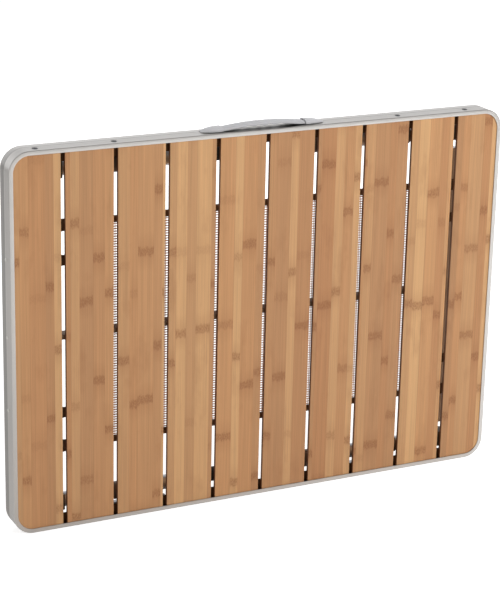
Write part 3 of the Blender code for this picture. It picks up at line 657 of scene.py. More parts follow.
@dataclass(frozen=True)
class BambooPattern:
    """Laminated bamboo: strips side by side with their own tones, grain and darker nodes.

    The input vector is in metres, X across the strips and Z along them. A strip's number is the
    whole part of X over the strip's width. White noise of that number gives its tone, and a
    second one shifts it along Z, where a node falls once in each node spacing. A node is a
    dashed patch under a thin brow, within a faint halo.
    """

    wander_rate: float = 131.0
    wander: float = 0.19
    shift_key: float = 57.3
    warmth_key: float = 113.9
    stagger_key: float = 7.7
    shift_length: float = 9.0
    node_places: Ramp = (0.0, 1.0, 0.2, 0.8)
    ragged_noise: Noise = ((150.0, 150.0, 40.0), 2.0, 0.5)
    ragged: Ramp = (0.3, 0.7, -0.0030, 0.0030)
    dash_noise: Noise = ((640.0, 640.0, 260.0), 2.0, 0.6)
    dashes: Ramp = (0.36, 0.60, 0.45, 1.0)
    patch: Ramp = (0.0048, 0.0118, 1.0, 0.0)
    brow_place: float = 0.0030
    brow: Ramp = (0.0002, 0.0030, 0.60, 0.0)
    halo: Ramp = (0.006, 0.034, 0.30, 0.0)
    strength: Ramp = (0.15, 0.5, 0.35, 1.0)
    cloud_noise: Noise = ((38.0, 38.0, 13.0), 3.0, 0.55)
    clouds: Ramp = (0.56, 0.76, 0.0, 0.34)
    fine_noise: Noise = ((950.0, 950.0, 6.0), 2.0, 0.6)
    fine_share: float = 0.62
    broad_noise: Noise = ((230.0, 230.0, 2.6), 3.0, 0.6)
    broad_share: float = 0.38
    seam: Ramp = (0.482, 0.499, 0.0, 1.0)

    def tree(self) -> Tree:
        """Make the node group.

        Returns:
            The group.
        """
        inputs = {"Vector": None, "Strip width": 0.0207, "Node spacing": 0.24, "Seed": 0.0}
        group = Group("Bamboo strips", inputs, ("Tone", "Grain", "Node", "Seam", "Warmth"))
        vector = group.start["Vector"]
        spacing = group.start["Node spacing"]
        place = group.parts(vector)
        wave = group.math('SINE', group.product(place[0], self.wander_rate))
        straight = group.math('DIVIDE', place[0], group.start["Strip width"])
        across = group.math('ADD', straight, group.product(wave, self.wander))
        number = group.math('ADD', group.math('FLOOR', across), group.start["Seed"])
        shift = group.product(group.whim(group.math('ADD', number, self.shift_key)), self.shift_length)
        along = group.math('ADD', group.math('DIVIDE', place[2], spacing), shift)
        key = group.math('ADD', group.math('FLOOR', along), group.product(number, self.stagger_key))
        stagger = group.whim(key)
        centre = group.spread(stagger, *self.node_places)
        distance = group.product(group.math('SUBTRACT', group.math('FRACT', along), centre), spacing)
        ragged = group.spread(group.noise(vector, *self.ragged_noise), *self.ragged)
        signed = group.math('ADD', distance, ragged)
        away = group.math('ABSOLUTE', signed)
        dashes = group.spread(group.noise(vector, *self.dash_noise), *self.dashes)
        patch = group.product(group.spread(away, *self.patch), dashes)
        brow = group.spread(group.away(signed, self.brow_place), *self.brow)
        halo = group.spread(away, *self.halo)
        strongest = group.math('MAXIMUM', group.math('MAXIMUM', patch, brow), halo)
        mark = group.product(strongest, group.spread(stagger, *self.strength))
        cloud = group.spread(group.noise(vector, *self.cloud_noise), *self.clouds)
        fine = group.product(group.noise(vector, *self.fine_noise), self.fine_share)
        broad = group.product(group.noise(vector, *self.broad_noise), self.broad_share)
        group.fill(group.end, {
            "Tone": group.whim(number),
            "Grain": group.math('ADD', fine, broad),
            "Node": group.math('MAXIMUM', mark, cloud),
            "Seam": group.spread(group.away(group.math('FRACT', across), 0.5), *self.seam),
            "Warmth": group.whim(group.math('ADD', number, self.warmth_key)),
        })
        return group.tree


def mottle_group() -> Tree:
    """Slight unevenness that every finish has: a broad one and a fine one, each 0 to 1.

    Returns:
        The node group.
    """
    scales = {"Broad scale": 9.0, "Fine scale": 420.0}
    group = Group("Mottle", {"Vector": None, **scales}, ("Broad", "Fine"))
    for name, detail in (("Broad", 3.0), ("Fine", 2.0)):
        inputs = {"Vector": group.start["Vector"], "Scale": group.start[name + " scale"], "Detail": detail}
        group.fill(group.end, {name: group.add("ShaderNodeTexNoise", inputs).outputs[0]})
    return group.tree


def weave_group() -> Tree:
    """Plain weave on a strap: threads that go over and under in turn.

    With x and y in threads, the height is |sin(pi x)| where the whole parts of x and y add to an
    even number, and |sin(pi y)| elsewhere.

    Returns:
        The node group.
    """
    group = Group("Weave", {"Vector": None, "Thread": 0.0011}, ("Height",))
    place = group.parts(group.start["Vector"])
    across, along = (group.math('DIVIDE', place[axis], group.start["Thread"]) for axis in (0, 1))
    both = group.math('ADD', group.math('FLOOR', across), group.math('FLOOR', along))
    odd = group.math('GREATER_THAN', group.math('MODULO', group.math('ABSOLUTE', both), 2.0), 0.5)
    warp, weft = (
        group.math('ABSOLUTE', group.math('SINE', group.product(threads, math.pi)))
        for threads in (across, along)
    )
    height = group.add("ShaderNodeMix", {0: odd, 2: warp, 3: weft}, data_type='FLOAT').outputs[0]
    group.fill(group.end, {"Height": height})
    return group.tree


class Library:
    """The shared node groups, made once."""

    def __init__(self) -> None:
        """Make every group."""
        self.bamboo = BambooPattern().tree()
        self.mottle = mottle_group()
        self.weave = weave_group()


class Shading(Nodes):
    """The nodes of a new material, round its Principled shader."""

    def __init__(self, name: str, colour: Colour) -> None:
        """Make the material.

        Args:
            name: The material's name.
            colour: Its colour in the viewport.
        """
        self.material = bpy.data.materials.new(name)
        self.material.use_nodes = True
        self.material.diffuse_color = toned(colour)
        super().__init__(self.material.node_tree)
        self.shader = self.tree.nodes["Principled BSDF"]
        self.place = self.coordinates("Object")

    def finish(self, inputs: dict) -> Material:
        """Fill the shader's inputs, for the material."""
        self.fill(self.shader, inputs)
        return self.material


@dataclass(frozen=True)
class BambooFinish:
    """Lacquered strips of bamboo laminated edge to edge, with painted shade on a slat's sides."""

    slot: str = "bamboo"
    dark: Colour = srgb(181, 134, 95)
    light: Colour = srgb(213, 168, 120)
    warm: Colour = srgb(190, 136, 93)
    node: Colour = srgb(136, 84, 50)
    seam: Colour = srgb(150, 104, 72)
    warmth: Ramp = (0.45, 1.0, 0.0, 0.6)
    streaks: Ramp = (0.32, 0.68, 0.84, 1.11)
    node_share: float = 0.66
    seam_share: float = 0.35
    # Painted shade on a slat's sides, the faces that look along X.
    sideways: Pair = (0.55, 0.9)
    side_shade: float = 0.6
    roughness: Pair = (0.45, 0.60)
    specular: float = 0.35
    relief: Pair = (0.12, 0.0003)
    strip_width: float = 0.0207
    node_spacing: float = 0.24
    seed_step: float = 31.0

    def material(self, library: Library, number: int) -> Material:
        """Make the finish for one slat.

        Args:
            library: The shared node groups.
            number: The slat's number, which says from what strips it is cut.

        Returns:
            The material.
        """
        nodes = Shading("bamboo_%02d" % number, self.light)
        strips = nodes.group(library.bamboo, {
            "Vector": nodes.place,
            "Strip width": self.strip_width,
            "Node spacing": self.node_spacing,
            "Seed": self.seed_step * number,
        })
        tone = nodes.mix(strips["Tone"], toned(self.dark), toned(self.light))
        tinted = nodes.mix(nodes.spread(strips["Warmth"], *self.warmth), tone, toned(self.warm))
        streak = nodes.spread(strips["Grain"], *self.streaks)
        grey = nodes.add("ShaderNodeCombineColor", {0: streak, 1: streak, 2: streak}).outputs[0]
        shown = nodes.mix(1.0, tinted, grey, 'MULTIPLY')
        aside = nodes.math('ABSOLUTE', nodes.parts(nodes.coordinates("Normal"))[0])
        for share, colour in (
            (nodes.product(strips["Node"], self.node_share), toned(self.node)),
            (nodes.product(strips["Seam"], self.seam_share), toned(self.seam)),
            # Painted shade on the slat's sides.
            (nodes.spread(aside, *self.sideways), toned(self.node, self.side_shade)),
        ):
            shown = nodes.mix(share, shown, colour)
        return nodes.finish({
            "Base Color": shown,
            "Roughness": nodes.spread(strips["Grain"], *NOISE_SPAN, *self.roughness),
            "Normal": nodes.bump(strips["Grain"], *self.relief),
            "Specular IOR Level": self.specular,
        })


@dataclass(frozen=True)
class PlainFinish:
    """A finish of one colour with slight unevenness: metal, moulded plastic or rubber."""

    name: str
    slot: str
    colour: Colour
    roughness: float
    metallic: float = 0.0
    tint: float = 0.06
    broad_scale: float = 9.0
    fine_scale: float = 420.0
    bump: float = 0.03
    bump_distance: float = 0.0002
    stretch: Point = (1.0, 1.0, 1.0)
    worn: Pair = (0.9, 1.12)
    # Painted shade: the colour of faces that look down, and how it grows with their slope.
    underneath: Colour | None = None
    downwards: Ramp = (-0.80, -0.55, 1.0, 0.0)

    def material(self, library: Library) -> Material:
        """Make the finish, with painted shade on faces that look down where its colour is given.

        Args:
            library: The shared node groups.

        Returns:
            The material.
        """
        nodes = Shading(self.name, self.colour)
        mottle = nodes.group(library.mottle, {
            "Vector": nodes.stretched(nodes.place, self.stretch),
            "Broad scale": self.broad_scale,
            "Fine scale": self.fine_scale,
        })
        share = nodes.spread(mottle["Broad"], *NOISE_SPAN)
        shown = nodes.mix(share, toned(self.colour, 1 - self.tint), toned(self.colour, 1 + self.tint))
        # Painted shade on faces that look down.
        if self.underneath:
            rise = nodes.parts(nodes.coordinates("Normal"))[2]
            shown = nodes.mix(nodes.spread(rise, *self.downwards), shown, toned(self.underneath))
        low, high = (min(self.roughness * factor, 1.0) for factor in self.worn)
        return nodes.finish({
            "Base Color": shown,
            "Roughness": nodes.spread(mottle["Fine"], *NOISE_SPAN, low, high),
            "Normal": nodes.bump(mottle["Fine"], self.bump, self.bump_distance),
            "Metallic": self.metallic,
        })


@dataclass(frozen=True)
class RimFinish:
    """Satin aluminium, with painted dark brown shade in the channel of the slats' ends.

    On the short walls the rear half is darker than the front one: painted shade.
    """

    name: str = "rim_aluminium"
    slot: str = "rim_aluminium"
    metal: Colour = srgb(210, 207, 203)
    # Painted shade: the colour of the channel behind the slats' ends.
    shaded: Colour = srgb(92, 64, 44)
    darkest: float = 0.97
    roughness: float = 0.34
    worn: Pair = (0.92, 1.12)
    channel: Pair = (-0.0204, -0.0128)
    channel_roughness: float = 0.4
    inside: float = 0.0030
    # Painted shade on the short walls' rear half, where a darker reflection falls.
    rear_band: Pair = (0.0014, 0.0020)
    short_wall: Pair = (0.424, 0.444)
    band_shade: float = 0.61
    broad_scale: float = 7.0
    fine_scale: float = 420.0
    drawn: Noise = ((2.0, 1400.0, 2.0), 2.0, 0.6)
    relief: Pair = (0.05, 0.0001)

    def inset(self, nodes: Nodes, place: Outputs) -> Socket:
        """How far inside the rounded outer edge a point lies.

        It is the corner radius minus the distance from the rectangle that the corners' centres
        span.

        Args:
            nodes: The material's nodes.
            place: The point's coordinates.

        Returns:
            The inset's socket.
        """
        squares = []
        for value, middle, half in ((place[0], 0.0, LENGTH / 2), (place[2], WIDTH / 2, WIDTH / 2)):
            past = nodes.math('SUBTRACT', nodes.away(value, middle), half - RIM_CORNER)
            beyond = nodes.math('MAXIMUM', past, 0.0)
            squares.append(nodes.product(beyond, beyond))
        return nodes.math('SUBTRACT', RIM_CORNER, nodes.math('SQRT', nodes.math('ADD', *squares)))

    def material(self, library: Library) -> Material:
        """Make the finish.

        The channel of painted dark brown shade is the space between two depths that lies further
        inside than a set inset, and the band of painted shade lies outside it. The metal has long
        faint drawing lines.

        Args:
            library: The shared node groups.

        Returns:
            The material.
        """
        nodes = Shading(self.name, self.metal)
        place = nodes.parts(nodes.place)
        inset = self.inset(nodes, place)
        # Painted shade in the channel behind the slats' ends.
        shaded = nodes.product(
            nodes.math('GREATER_THAN', place[1], self.channel[0]),
            nodes.math('LESS_THAN', place[1], self.channel[1]),
            nodes.math('GREATER_THAN', inset, self.inside),
        )
        # Painted shade on the rear half of the short walls.
        rear_painted_shade = nodes.product(
            nodes.spread(place[1], *self.rear_band),
            nodes.spread(nodes.math('ABSOLUTE', place[0]), *self.short_wall),
            nodes.math('LESS_THAN', inset, self.inside),
        )
        scales = {"Broad scale": self.broad_scale, "Fine scale": self.fine_scale}
        mottle = nodes.group(library.mottle, {"Vector": nodes.place, **scales})
        share = nodes.spread(mottle["Broad"], *NOISE_SPAN)
        metal = nodes.mix(share, toned(self.metal, self.darkest), toned(self.metal))
        metal = nodes.mix(rear_painted_shade, metal, toned(self.metal, self.band_shade))
        low, high = (self.roughness * factor for factor in self.worn)
        worn = nodes.spread(mottle["Fine"], *NOISE_SPAN, low, high)
        return nodes.finish({
            "Base Color": nodes.mix(shaded, metal, toned(self.shaded)),
            "Roughness": nodes.math('ADD', worn, nodes.product(shaded, self.channel_roughness)),
            "Normal": nodes.bump(nodes.noise(nodes.place, *self.drawn), *self.relief),
            "Metallic": 1.0,
        })


@dataclass(frozen=True)
class WovenFinish:
    """Plain woven webbing, whose threads lie along the table's own X and Z."""

    name: str
    slot: str
    colour: Colour
    thread: float
    roughness: float = 0.9
    depth_share: float = 0.7
    # Painted shade where the threads dip and painted light on their crowns, as factors of the colour.
    tones: Pair = (0.55, 1.25)
    relief: Pair = (0.6, 0.0003)
    sheen: float = 0.2

    def material(self, library: Library) -> Material:
        """Make the finish.

        Args:
            library: The shared node groups.

        Returns:
            The material.
        """
        nodes = Shading(self.name, self.colour)
        place = nodes.parts(nodes.place)
        across = nodes.math('ADD', place[0], nodes.product(place[1], self.depth_share))
        flat = nodes.add("ShaderNodeCombineXYZ", {0: across, 1: place[2]}).outputs[0]
        height = nodes.group(library.weave, {"Vector": flat, "Thread": self.thread})["Height"]
        # Painted shade where the threads dip, painted light on their crowns.
        low, high = (toned(self.colour, factor) for factor in self.tones)
        return nodes.finish({
            "Base Color": nodes.mix(height, low, high),
            "Roughness": self.roughness,
            "Normal": nodes.bump(height, *self.relief),
            "Sheen Weight": self.sheen,
        })


class Finish(Enum):
    """Every finish on the table but the slats' bamboo, with the record's slot that it fills."""

    RIM = RimFinish()
    RIVET = PlainFinish(
        "rivet_aluminium", "rim_aluminium", srgb(240, 239, 234), 0.4, 0.3, tint=0.02, fine_scale=260.0,
    )
    # The rail's dark brown is painted shade: the aluminium channel as it looks in the slats' shadow.
    RAIL = PlainFinish("rail_bronze", "rail_aluminium", srgb(112, 88, 68), 0.5, 0.5, tint=0.05)
    LEG_TUBE = PlainFinish(
        "leg_tube_aluminium", "leg_tube", srgb(200, 200, 202), 0.34, 1.0, tint=0.03,
        stretch=(0.2, 1.0, 1.0),
    )
    INNER_TUBE = PlainFinish(
        "inner_tube_aluminium", "inner_tube", srgb(216, 216, 218), 0.27, 1.0, tint=0.03,
        stretch=(0.2, 1.0, 1.0),
    )
    CROSS_BAR = PlainFinish(
        "cross_bar_aluminium", "leg_tube", srgb(186, 186, 188), 0.36, 1.0, tint=0.03,
        stretch=(1.0, 1.0, 0.2),
    )
    STEEL = PlainFinish(
        "zinc_plated_steel", "steel", srgb(172, 172, 174), 0.36, 1.0, tint=0.07, fine_scale=260.0,
    )
    BOLT = PlainFinish("dark_bolt", "steel", srgb(92, 93, 97), 0.42, 0.8, tint=0.07, fine_scale=260.0)
    MOULDING = PlainFinish(
        "dark_moulding", "moulding", srgb(86, 69, 54), 0.55, tint=0.08, bump=0.12, fine_scale=900.0,
    )
    GRIP = PlainFinish(
        "grip_rubber", "grip_rubber", srgb(191, 191, 194), 0.62, tint=0.03, bump=0.08, fine_scale=800.0,
        # Painted shade under the grip, which the rim below reflects.
        underneath=srgb(38, 35, 33),
    )
    GRIP_CAP = PlainFinish(
        "grip_cap", "grip_cap", srgb(196, 196, 199), 0.5, tint=0.03, bump=0.08, fine_scale=800.0,
    )
    FOOT = PlainFinish(
        "foot_rubber", "foot_rubber", srgb(40, 40, 42), 0.8, tint=0.1, bump=0.15, fine_scale=700.0,
    )
    NET = PlainFinish(
        "net_thread", "mesh_net", srgb(222, 172, 128), 0.5, tint=0.05, bump=0.1, fine_scale=1600.0,
    )
    STITCH = PlainFinish(
        "hem_stitch", "mesh_net", srgb(150, 134, 116), 0.85, tint=0.08, bump=0.2, fine_scale=1600.0,
    )
    HEM = WovenFinish("hem_tape", "mesh_net", srgb(98, 76, 60), thread=0.0009)
    WEBBING = WovenFinish("strap_webbing", "webbing", srgb(92, 74, 60), thread=0.0011)


class Wardrobe:
    """Every material on the table, made once."""

    def __init__(self) -> None:
        """Make the shared groups and the finishes."""
        self.library = Library()
        self.materials = {finish: finish.value.material(self.library) for finish in Finish}
        self.bamboo = BambooFinish()

    def slat(self, number: int) -> Material:
        """The bamboo of one slat."""
        return self.bamboo.material(self.library, number)


# Where things lie at a corner


@dataclass(frozen=True)
class Corner:
    """One corner of the table, with its own measures of reach, depth and inset."""

    side: str
    edge: str

    @property
    def name(self) -> str:
        """The corner's name."""
        return self.side + "_" + self.edge

    @property
    def pivot_x(self) -> float:
        """Where the leg's pivot is along the table."""
        return PIVOTS[self.side]

    def matrix(self) -> Array:
        """Turn (reach, depth, inset) into places.

        Returns:
            The four by four matrix.
        """
        inboard = 1.0 if self.side == "left" else -1.0
        inwards, height = (1.0, 0.0) if self.edge == "bottom" else (-1.0, WIDTH)
        return np.array((
            (inboard, 0.0, 0.0, self.pivot_x),
            (0.0, 1.0, 0.0, -DEPTH / 2),
            (0.0, 0.0, inwards, height),
            (0.0, 0.0, 0.0, 1.0),
        ))

    def point(self, reach: float, depth: float, inset: float) -> Vector:
        """The place of one point."""
        return Vector((self.matrix() @ np.array((reach, depth, inset, 1.0)))[:3])


@dataclass(frozen=True)
class LegPlan:
    """Where a leg's parts lie in its corner's own measures."""

    inset: float = 0.039
    axis_depth: float = 0.0285
    pivot_depth: float = 0.0155
    anchor_reach: float = 0.133
    stud_reach: float = 0.125
    knuckle: Pair = (0.2249, 0.0215)
    cross_member: Pair = (0.014, 0.031)
    gap: float = 0.0003
    sides: int = 56
    small_sides: int = 40

    def along(self, profile: Array, closed: bool) -> Surface:
        """Turn pairs of radius and reach about the leg's tube axis."""
        return turned(profile, self.sides, closed).placed(np.array((
            (0, 0, 1, 0.0),
            (1, 0, 0, self.axis_depth),
            (0, 1, 0, self.inset),
            (0, 0, 0, 1.0),
        )))

    def inwards(self, profile: Array, reach: float, depth: float) -> Surface:
        """Turn pairs of radius and inset about a line that runs inwards from the rim.

        Args:
            profile: The pairs.
            reach, depth: Where the line lies.

        Returns:
            The turned surface.
        """
        shift = np.eye(4)
        shift[:2, 3] = (reach, depth)
        return turned(profile, self.small_sides, False).placed(shift)


CORNERS = tuple(Corner(side, edge) for side in SIDES for edge in ("bottom", "top"))
FACE_FRONT = np.array(((1, 0, 0, 0), (0, 0, 1, -DEPTH / 2), (0, 1, 0, 0), (0, 0, 0, 1)), float)
PLAN = LegPlan()


# The table's parts


@dataclass
class Assembly:
    """A part of the table, made of one or more pieces."""

    wardrobe: Wardrobe

    def add(
        self, name: str, surface: Surface, finish: Finish, body: str, node: str, smooth: float = SMOOTH
    ) -> Object:
        """Make a piece, with what it rides on and what it stands for.

        Args:
            name: The piece's name.
            surface: Its points and faces.
            finish: Its finish.
            body: The body that it rides on.
            node: The solid that it stands for.
            smooth: Edges sharper than this stay sharp, in degrees.

        Returns:
            The piece.
        """
        made = piece(name, surface, self.wardrobe.materials[finish], smooth)
        return fit(made, body, node)


@dataclass
class CornerAssembly(Assembly):
    """A part that every corner of the table has."""

    corner: Corner

    @property
    def frame(self) -> str:
        """The body of the leg frame on this corner's side."""
        return "leg_frame_" + self.corner.side

    def part(self, name: str, surface: Surface, finish: Finish, body: str, node: str) -> Object:
        """Make a piece at this corner.

        Args:
            name: The piece's name without the corner's.
            surface: Its surface in the corner's measures.
            finish: Its finish.
            body: The body that it rides on. One that ends in a low line lacks the corner's name.
            node: The solid that it stands for, without the corner's name.

        Returns:
            The piece.
        """
        corner = self.corner.name
        whole = body + corner if body.endswith("_") else body
        placed = surface.placed(self.corner.matrix())
        return self.add(name + corner, placed, finish, whole, node + corner)


@dataclass
class Rim(Assembly):
    """The bent aluminium extrusion round the top.

    Its section has a lip, a step behind it, a groove in the outer wall, a flange at the rear, and
    a channel inside with a ledge for the slats.
    """

    wall: float = 0.0022
    wall_start: float = 0.02
    lip: float = 0.0075
    lip_thickness: float = 0.0015
    lip_round: float = 0.0011
    bead_depth: float = 0.0030
    bead_step: float = 0.0015
    bead_slope: float = 0.0006
    ramp_end: float = 0.018
    groove: Pair = (0.0238, 0.0254)
    groove_sink: float = 0.0003
    outer_round: float = 0.004
    flange: float = 0.0065
    flange_start: float = 0.005
    flange_thickness: float = 0.0016
    inner_round: float = 0.0024
    channel: float = 0.0037
    ledge_depth: float = 0.0082
    ledge_thickness: float = 0.0016
    ledge: float = 0.0235
    small_round: float = 0.0005
    corner_steps: int = 26
    straight_steps: int = 10
    smooth: float = 28.0
    hole: tuple[float, Pair, Pair] = (-0.002, (0.0050, 0.0012), (0.0033, 0.0045))
    rivet_heights: Triple = (0.215, 0.340, 0.4705)
    rivet_depth: float = 0.0196
    rivet_radius: float = 0.0028
    rivet_height: float = 0.0013
    rivet_shares: tuple[float, ...] = (-0.6, 0.0, 0.3, 0.55, 0.8, 0.95)
    rivet_sides: int = 24
    rivet_smooth: float = 40.0

    def profile(self) -> Array:
        """The section as (inset, depth) points, rounded where the extrusion is.

        Returns:
            The section, as a ring.
        """
        bead, lip = self.bead_depth, self.lip_thickness
        lip_edge = filleted(
            ((self.lip, lip), (self.lip, 0.0), (0.0, 0.0), (0.0, bead)), self.lip_round, False, 4,
        )
        first, last = self.groove
        step = filleted(
            ((0.0, bead), (self.bead_step, bead + self.bead_slope), (0.0, self.ramp_end), (0.0, first)),
            self.bead_slope, False,
        )[1:-1]
        sink = self.groove_sink
        groove = np.array(((0.0, first), (sink, first + sink), (sink, last - sink), (0.0, last)))
        outer_rear = arc((self.outer_round, DEPTH - self.outer_round), self.outer_round, 180, 90, 8)
        start, end = self.flange_start, self.flange
        inner = DEPTH - self.flange_thickness
        flange_edge = filleted(
            ((start, DEPTH), (end, DEPTH), (end, inner), (start, inner)), self.small_round, False,
        )
        bend = self.inner_round
        inner_rear = arc((self.wall + bend, inner - bend), bend, 90, 180, 6)
        ledge, rear = self.ledge_depth, self.ledge_depth + self.ledge_thickness
        inside = filleted(
            ((self.wall, self.wall_start), (self.wall, rear), (self.ledge, rear), (self.ledge, ledge),
             (self.channel, ledge), (self.channel, lip), (self.lip, lip)),
            self.small_round, False,
        )[1:-1]
        return np.concatenate((lip_edge, step, groove, outer_rear, flange_edge, inner_rear, inside))

    def surface(self) -> Surface:
        """Carry the section round a rounded rectangle.

        A station on a corner lies at its centre plus (corner radius minus inset) times the
        direction of its angle. Stations on the straight runs are evenly spaced between two
        corners, so their points are plain averages of the corners' own.

        Returns:
            The rim's surface.
        """
        profile = self.profile()
        across = LENGTH / 2 - RIM_CORNER
        low, high = RIM_CORNER, WIDTH - RIM_CORNER
        rings = []
        for number, centre in enumerate(((across, high), (-across, high), (-across, low), (across, low))):
            angle = np.radians(90 * number + np.linspace(0, 90, self.corner_steps + 1))[:, None]
            radius = RIM_CORNER - profile[None, :, 0]
            place_x = centre[0] + radius * np.cos(angle)
            place_z = centre[1] + radius * np.sin(angle)
            place_y = np.broadcast_to(profile[None, :, 1] - DEPTH / 2, place_x.shape)
            rings.append(np.stack((place_x, place_y, place_z), -1))
        stations = []
        for ring, following in zip(rings, rings[1:] + rings[:1]):
            share = np.linspace(0, 1, self.straight_steps + 2)[1:-1, None, None]
            stations.extend((ring, ring[-1] * (1 - share) + following[0] * share))
        return Surface().grid(np.concatenate(stations), wrap_rows=True, wrap_columns=True)

    def rivet_rings(self, outwards: float, height: float) -> Array:
        """One rivet head on a short wall, as rings round an axis along X.

        A ring at the share t of the head's height has the radius r sqrt(1 - t t), like a
        flattened dome, and the first one lies inside the wall.

        Args:
            outwards: -1 for the left wall and 1 for the right one.
            height: The rivet's height.

        Returns:
            The rings.
        """
        angles = np.linspace(0, 2 * math.pi, self.rivet_sides, endpoint=False) * outwards
        rings = []
        for share in self.rivet_shares:
            radius = self.rivet_radius * math.sqrt(1 - max(share, 0.0) ** 2)
            rings.append(np.column_stack((
                np.full(len(angles), outwards * (LENGTH / 2 + self.rivet_height * share)),
                self.rivet_depth - DEPTH / 2 + radius * np.cos(angles),
                height + radius * np.sin(angles),
            )))
        return np.stack(rings)

    def build(self) -> None:
        """Make the rim with its bolt holes, and the rivet heads on its short walls."""
        rim = self.add("rim_extrusion", self.surface(), Finish.RIM, "root", "frame_rim", self.smooth)
        hole = stepped(*self.hole)
        cut_away(rim, [
            PLAN.inwards(hole, reach, PLAN.pivot_depth).placed(corner.matrix())
            for corner in CORNERS
            for reach in (0.0, PLAN.anchor_reach)
        ])
        for side, outwards in SIDES.items():
            rivets = Surface()
            for height in self.rivet_heights:
                rivets.tube(self.rivet_rings(outwards, height))
            self.add("wall_rivets_" + side, rivets, Finish.RIVET, "root", "frame_rim", self.rivet_smooth)


@dataclass
class Slats(Assembly):
    """Ten bamboo slats with softened edges."""

    count: int = 10
    edge: float = 0.0010
    edge_steps: int = 4
    corner: float = 0.031
    small_corner: float = 0.0012
    corner_steps: int = 20

    def surface(self, number: int) -> Surface:
        """A slat's surface, from its solid's box.

        Args:
            number: The slat's number, from the left.

        Returns:
            The surface.
        """
        low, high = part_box("slat_%02d" % number)
        right = self.corner if number == self.count else self.small_corner
        left = self.corner if number == 1 else self.small_corner
        outline = rounded_rectangle(
            (low[0], low[2]), (high[0], high[2]), (right, left, left, right), self.corner_steps,
        )
        front, rear = low[1] + DEPTH / 2, high[1] + DEPTH / 2
        return plate(outline, front, rear, self.edge, self.edge_steps).placed(FACE_FRONT)

    def build(self) -> None:
        """Make every slat."""
        for number in range(1, self.count + 1):
            material = self.wardrobe.slat(number)
            slat = piece("bamboo_slat_%02d" % number, self.surface(number), material)
            fit(slat, "root", "slat_%02d" % number)


@dataclass
class CentreRail(Assembly):
    """The channel across the backs of the slats, open to the rear."""

    left: float = -0.368
    right: float = 0.356
    height: float = 0.3322
    width: float = 0.0086
    front: float = -0.0138
    rear: float = 0.006
    wall: float = 0.0015
    round: float = 0.0005

    def build(self) -> None:
        """Make the rail."""
        half = self.width / 2
        inner = half - self.wall
        floor = self.front + self.wall
        section = ring_of(
            (self.front, -half), (self.rear, -half), (self.rear, -inner), (floor, -inner),
            (floor, inner), (self.rear, inner), (self.rear, half), (self.front, half), fillet=self.round,
        )
        surface = Surface().tube(repeated(section + (0.0, self.height), (self.left, self.right)))
        self.add("back_rail", surface, Finish.RAIL, "root", "centre_rail")


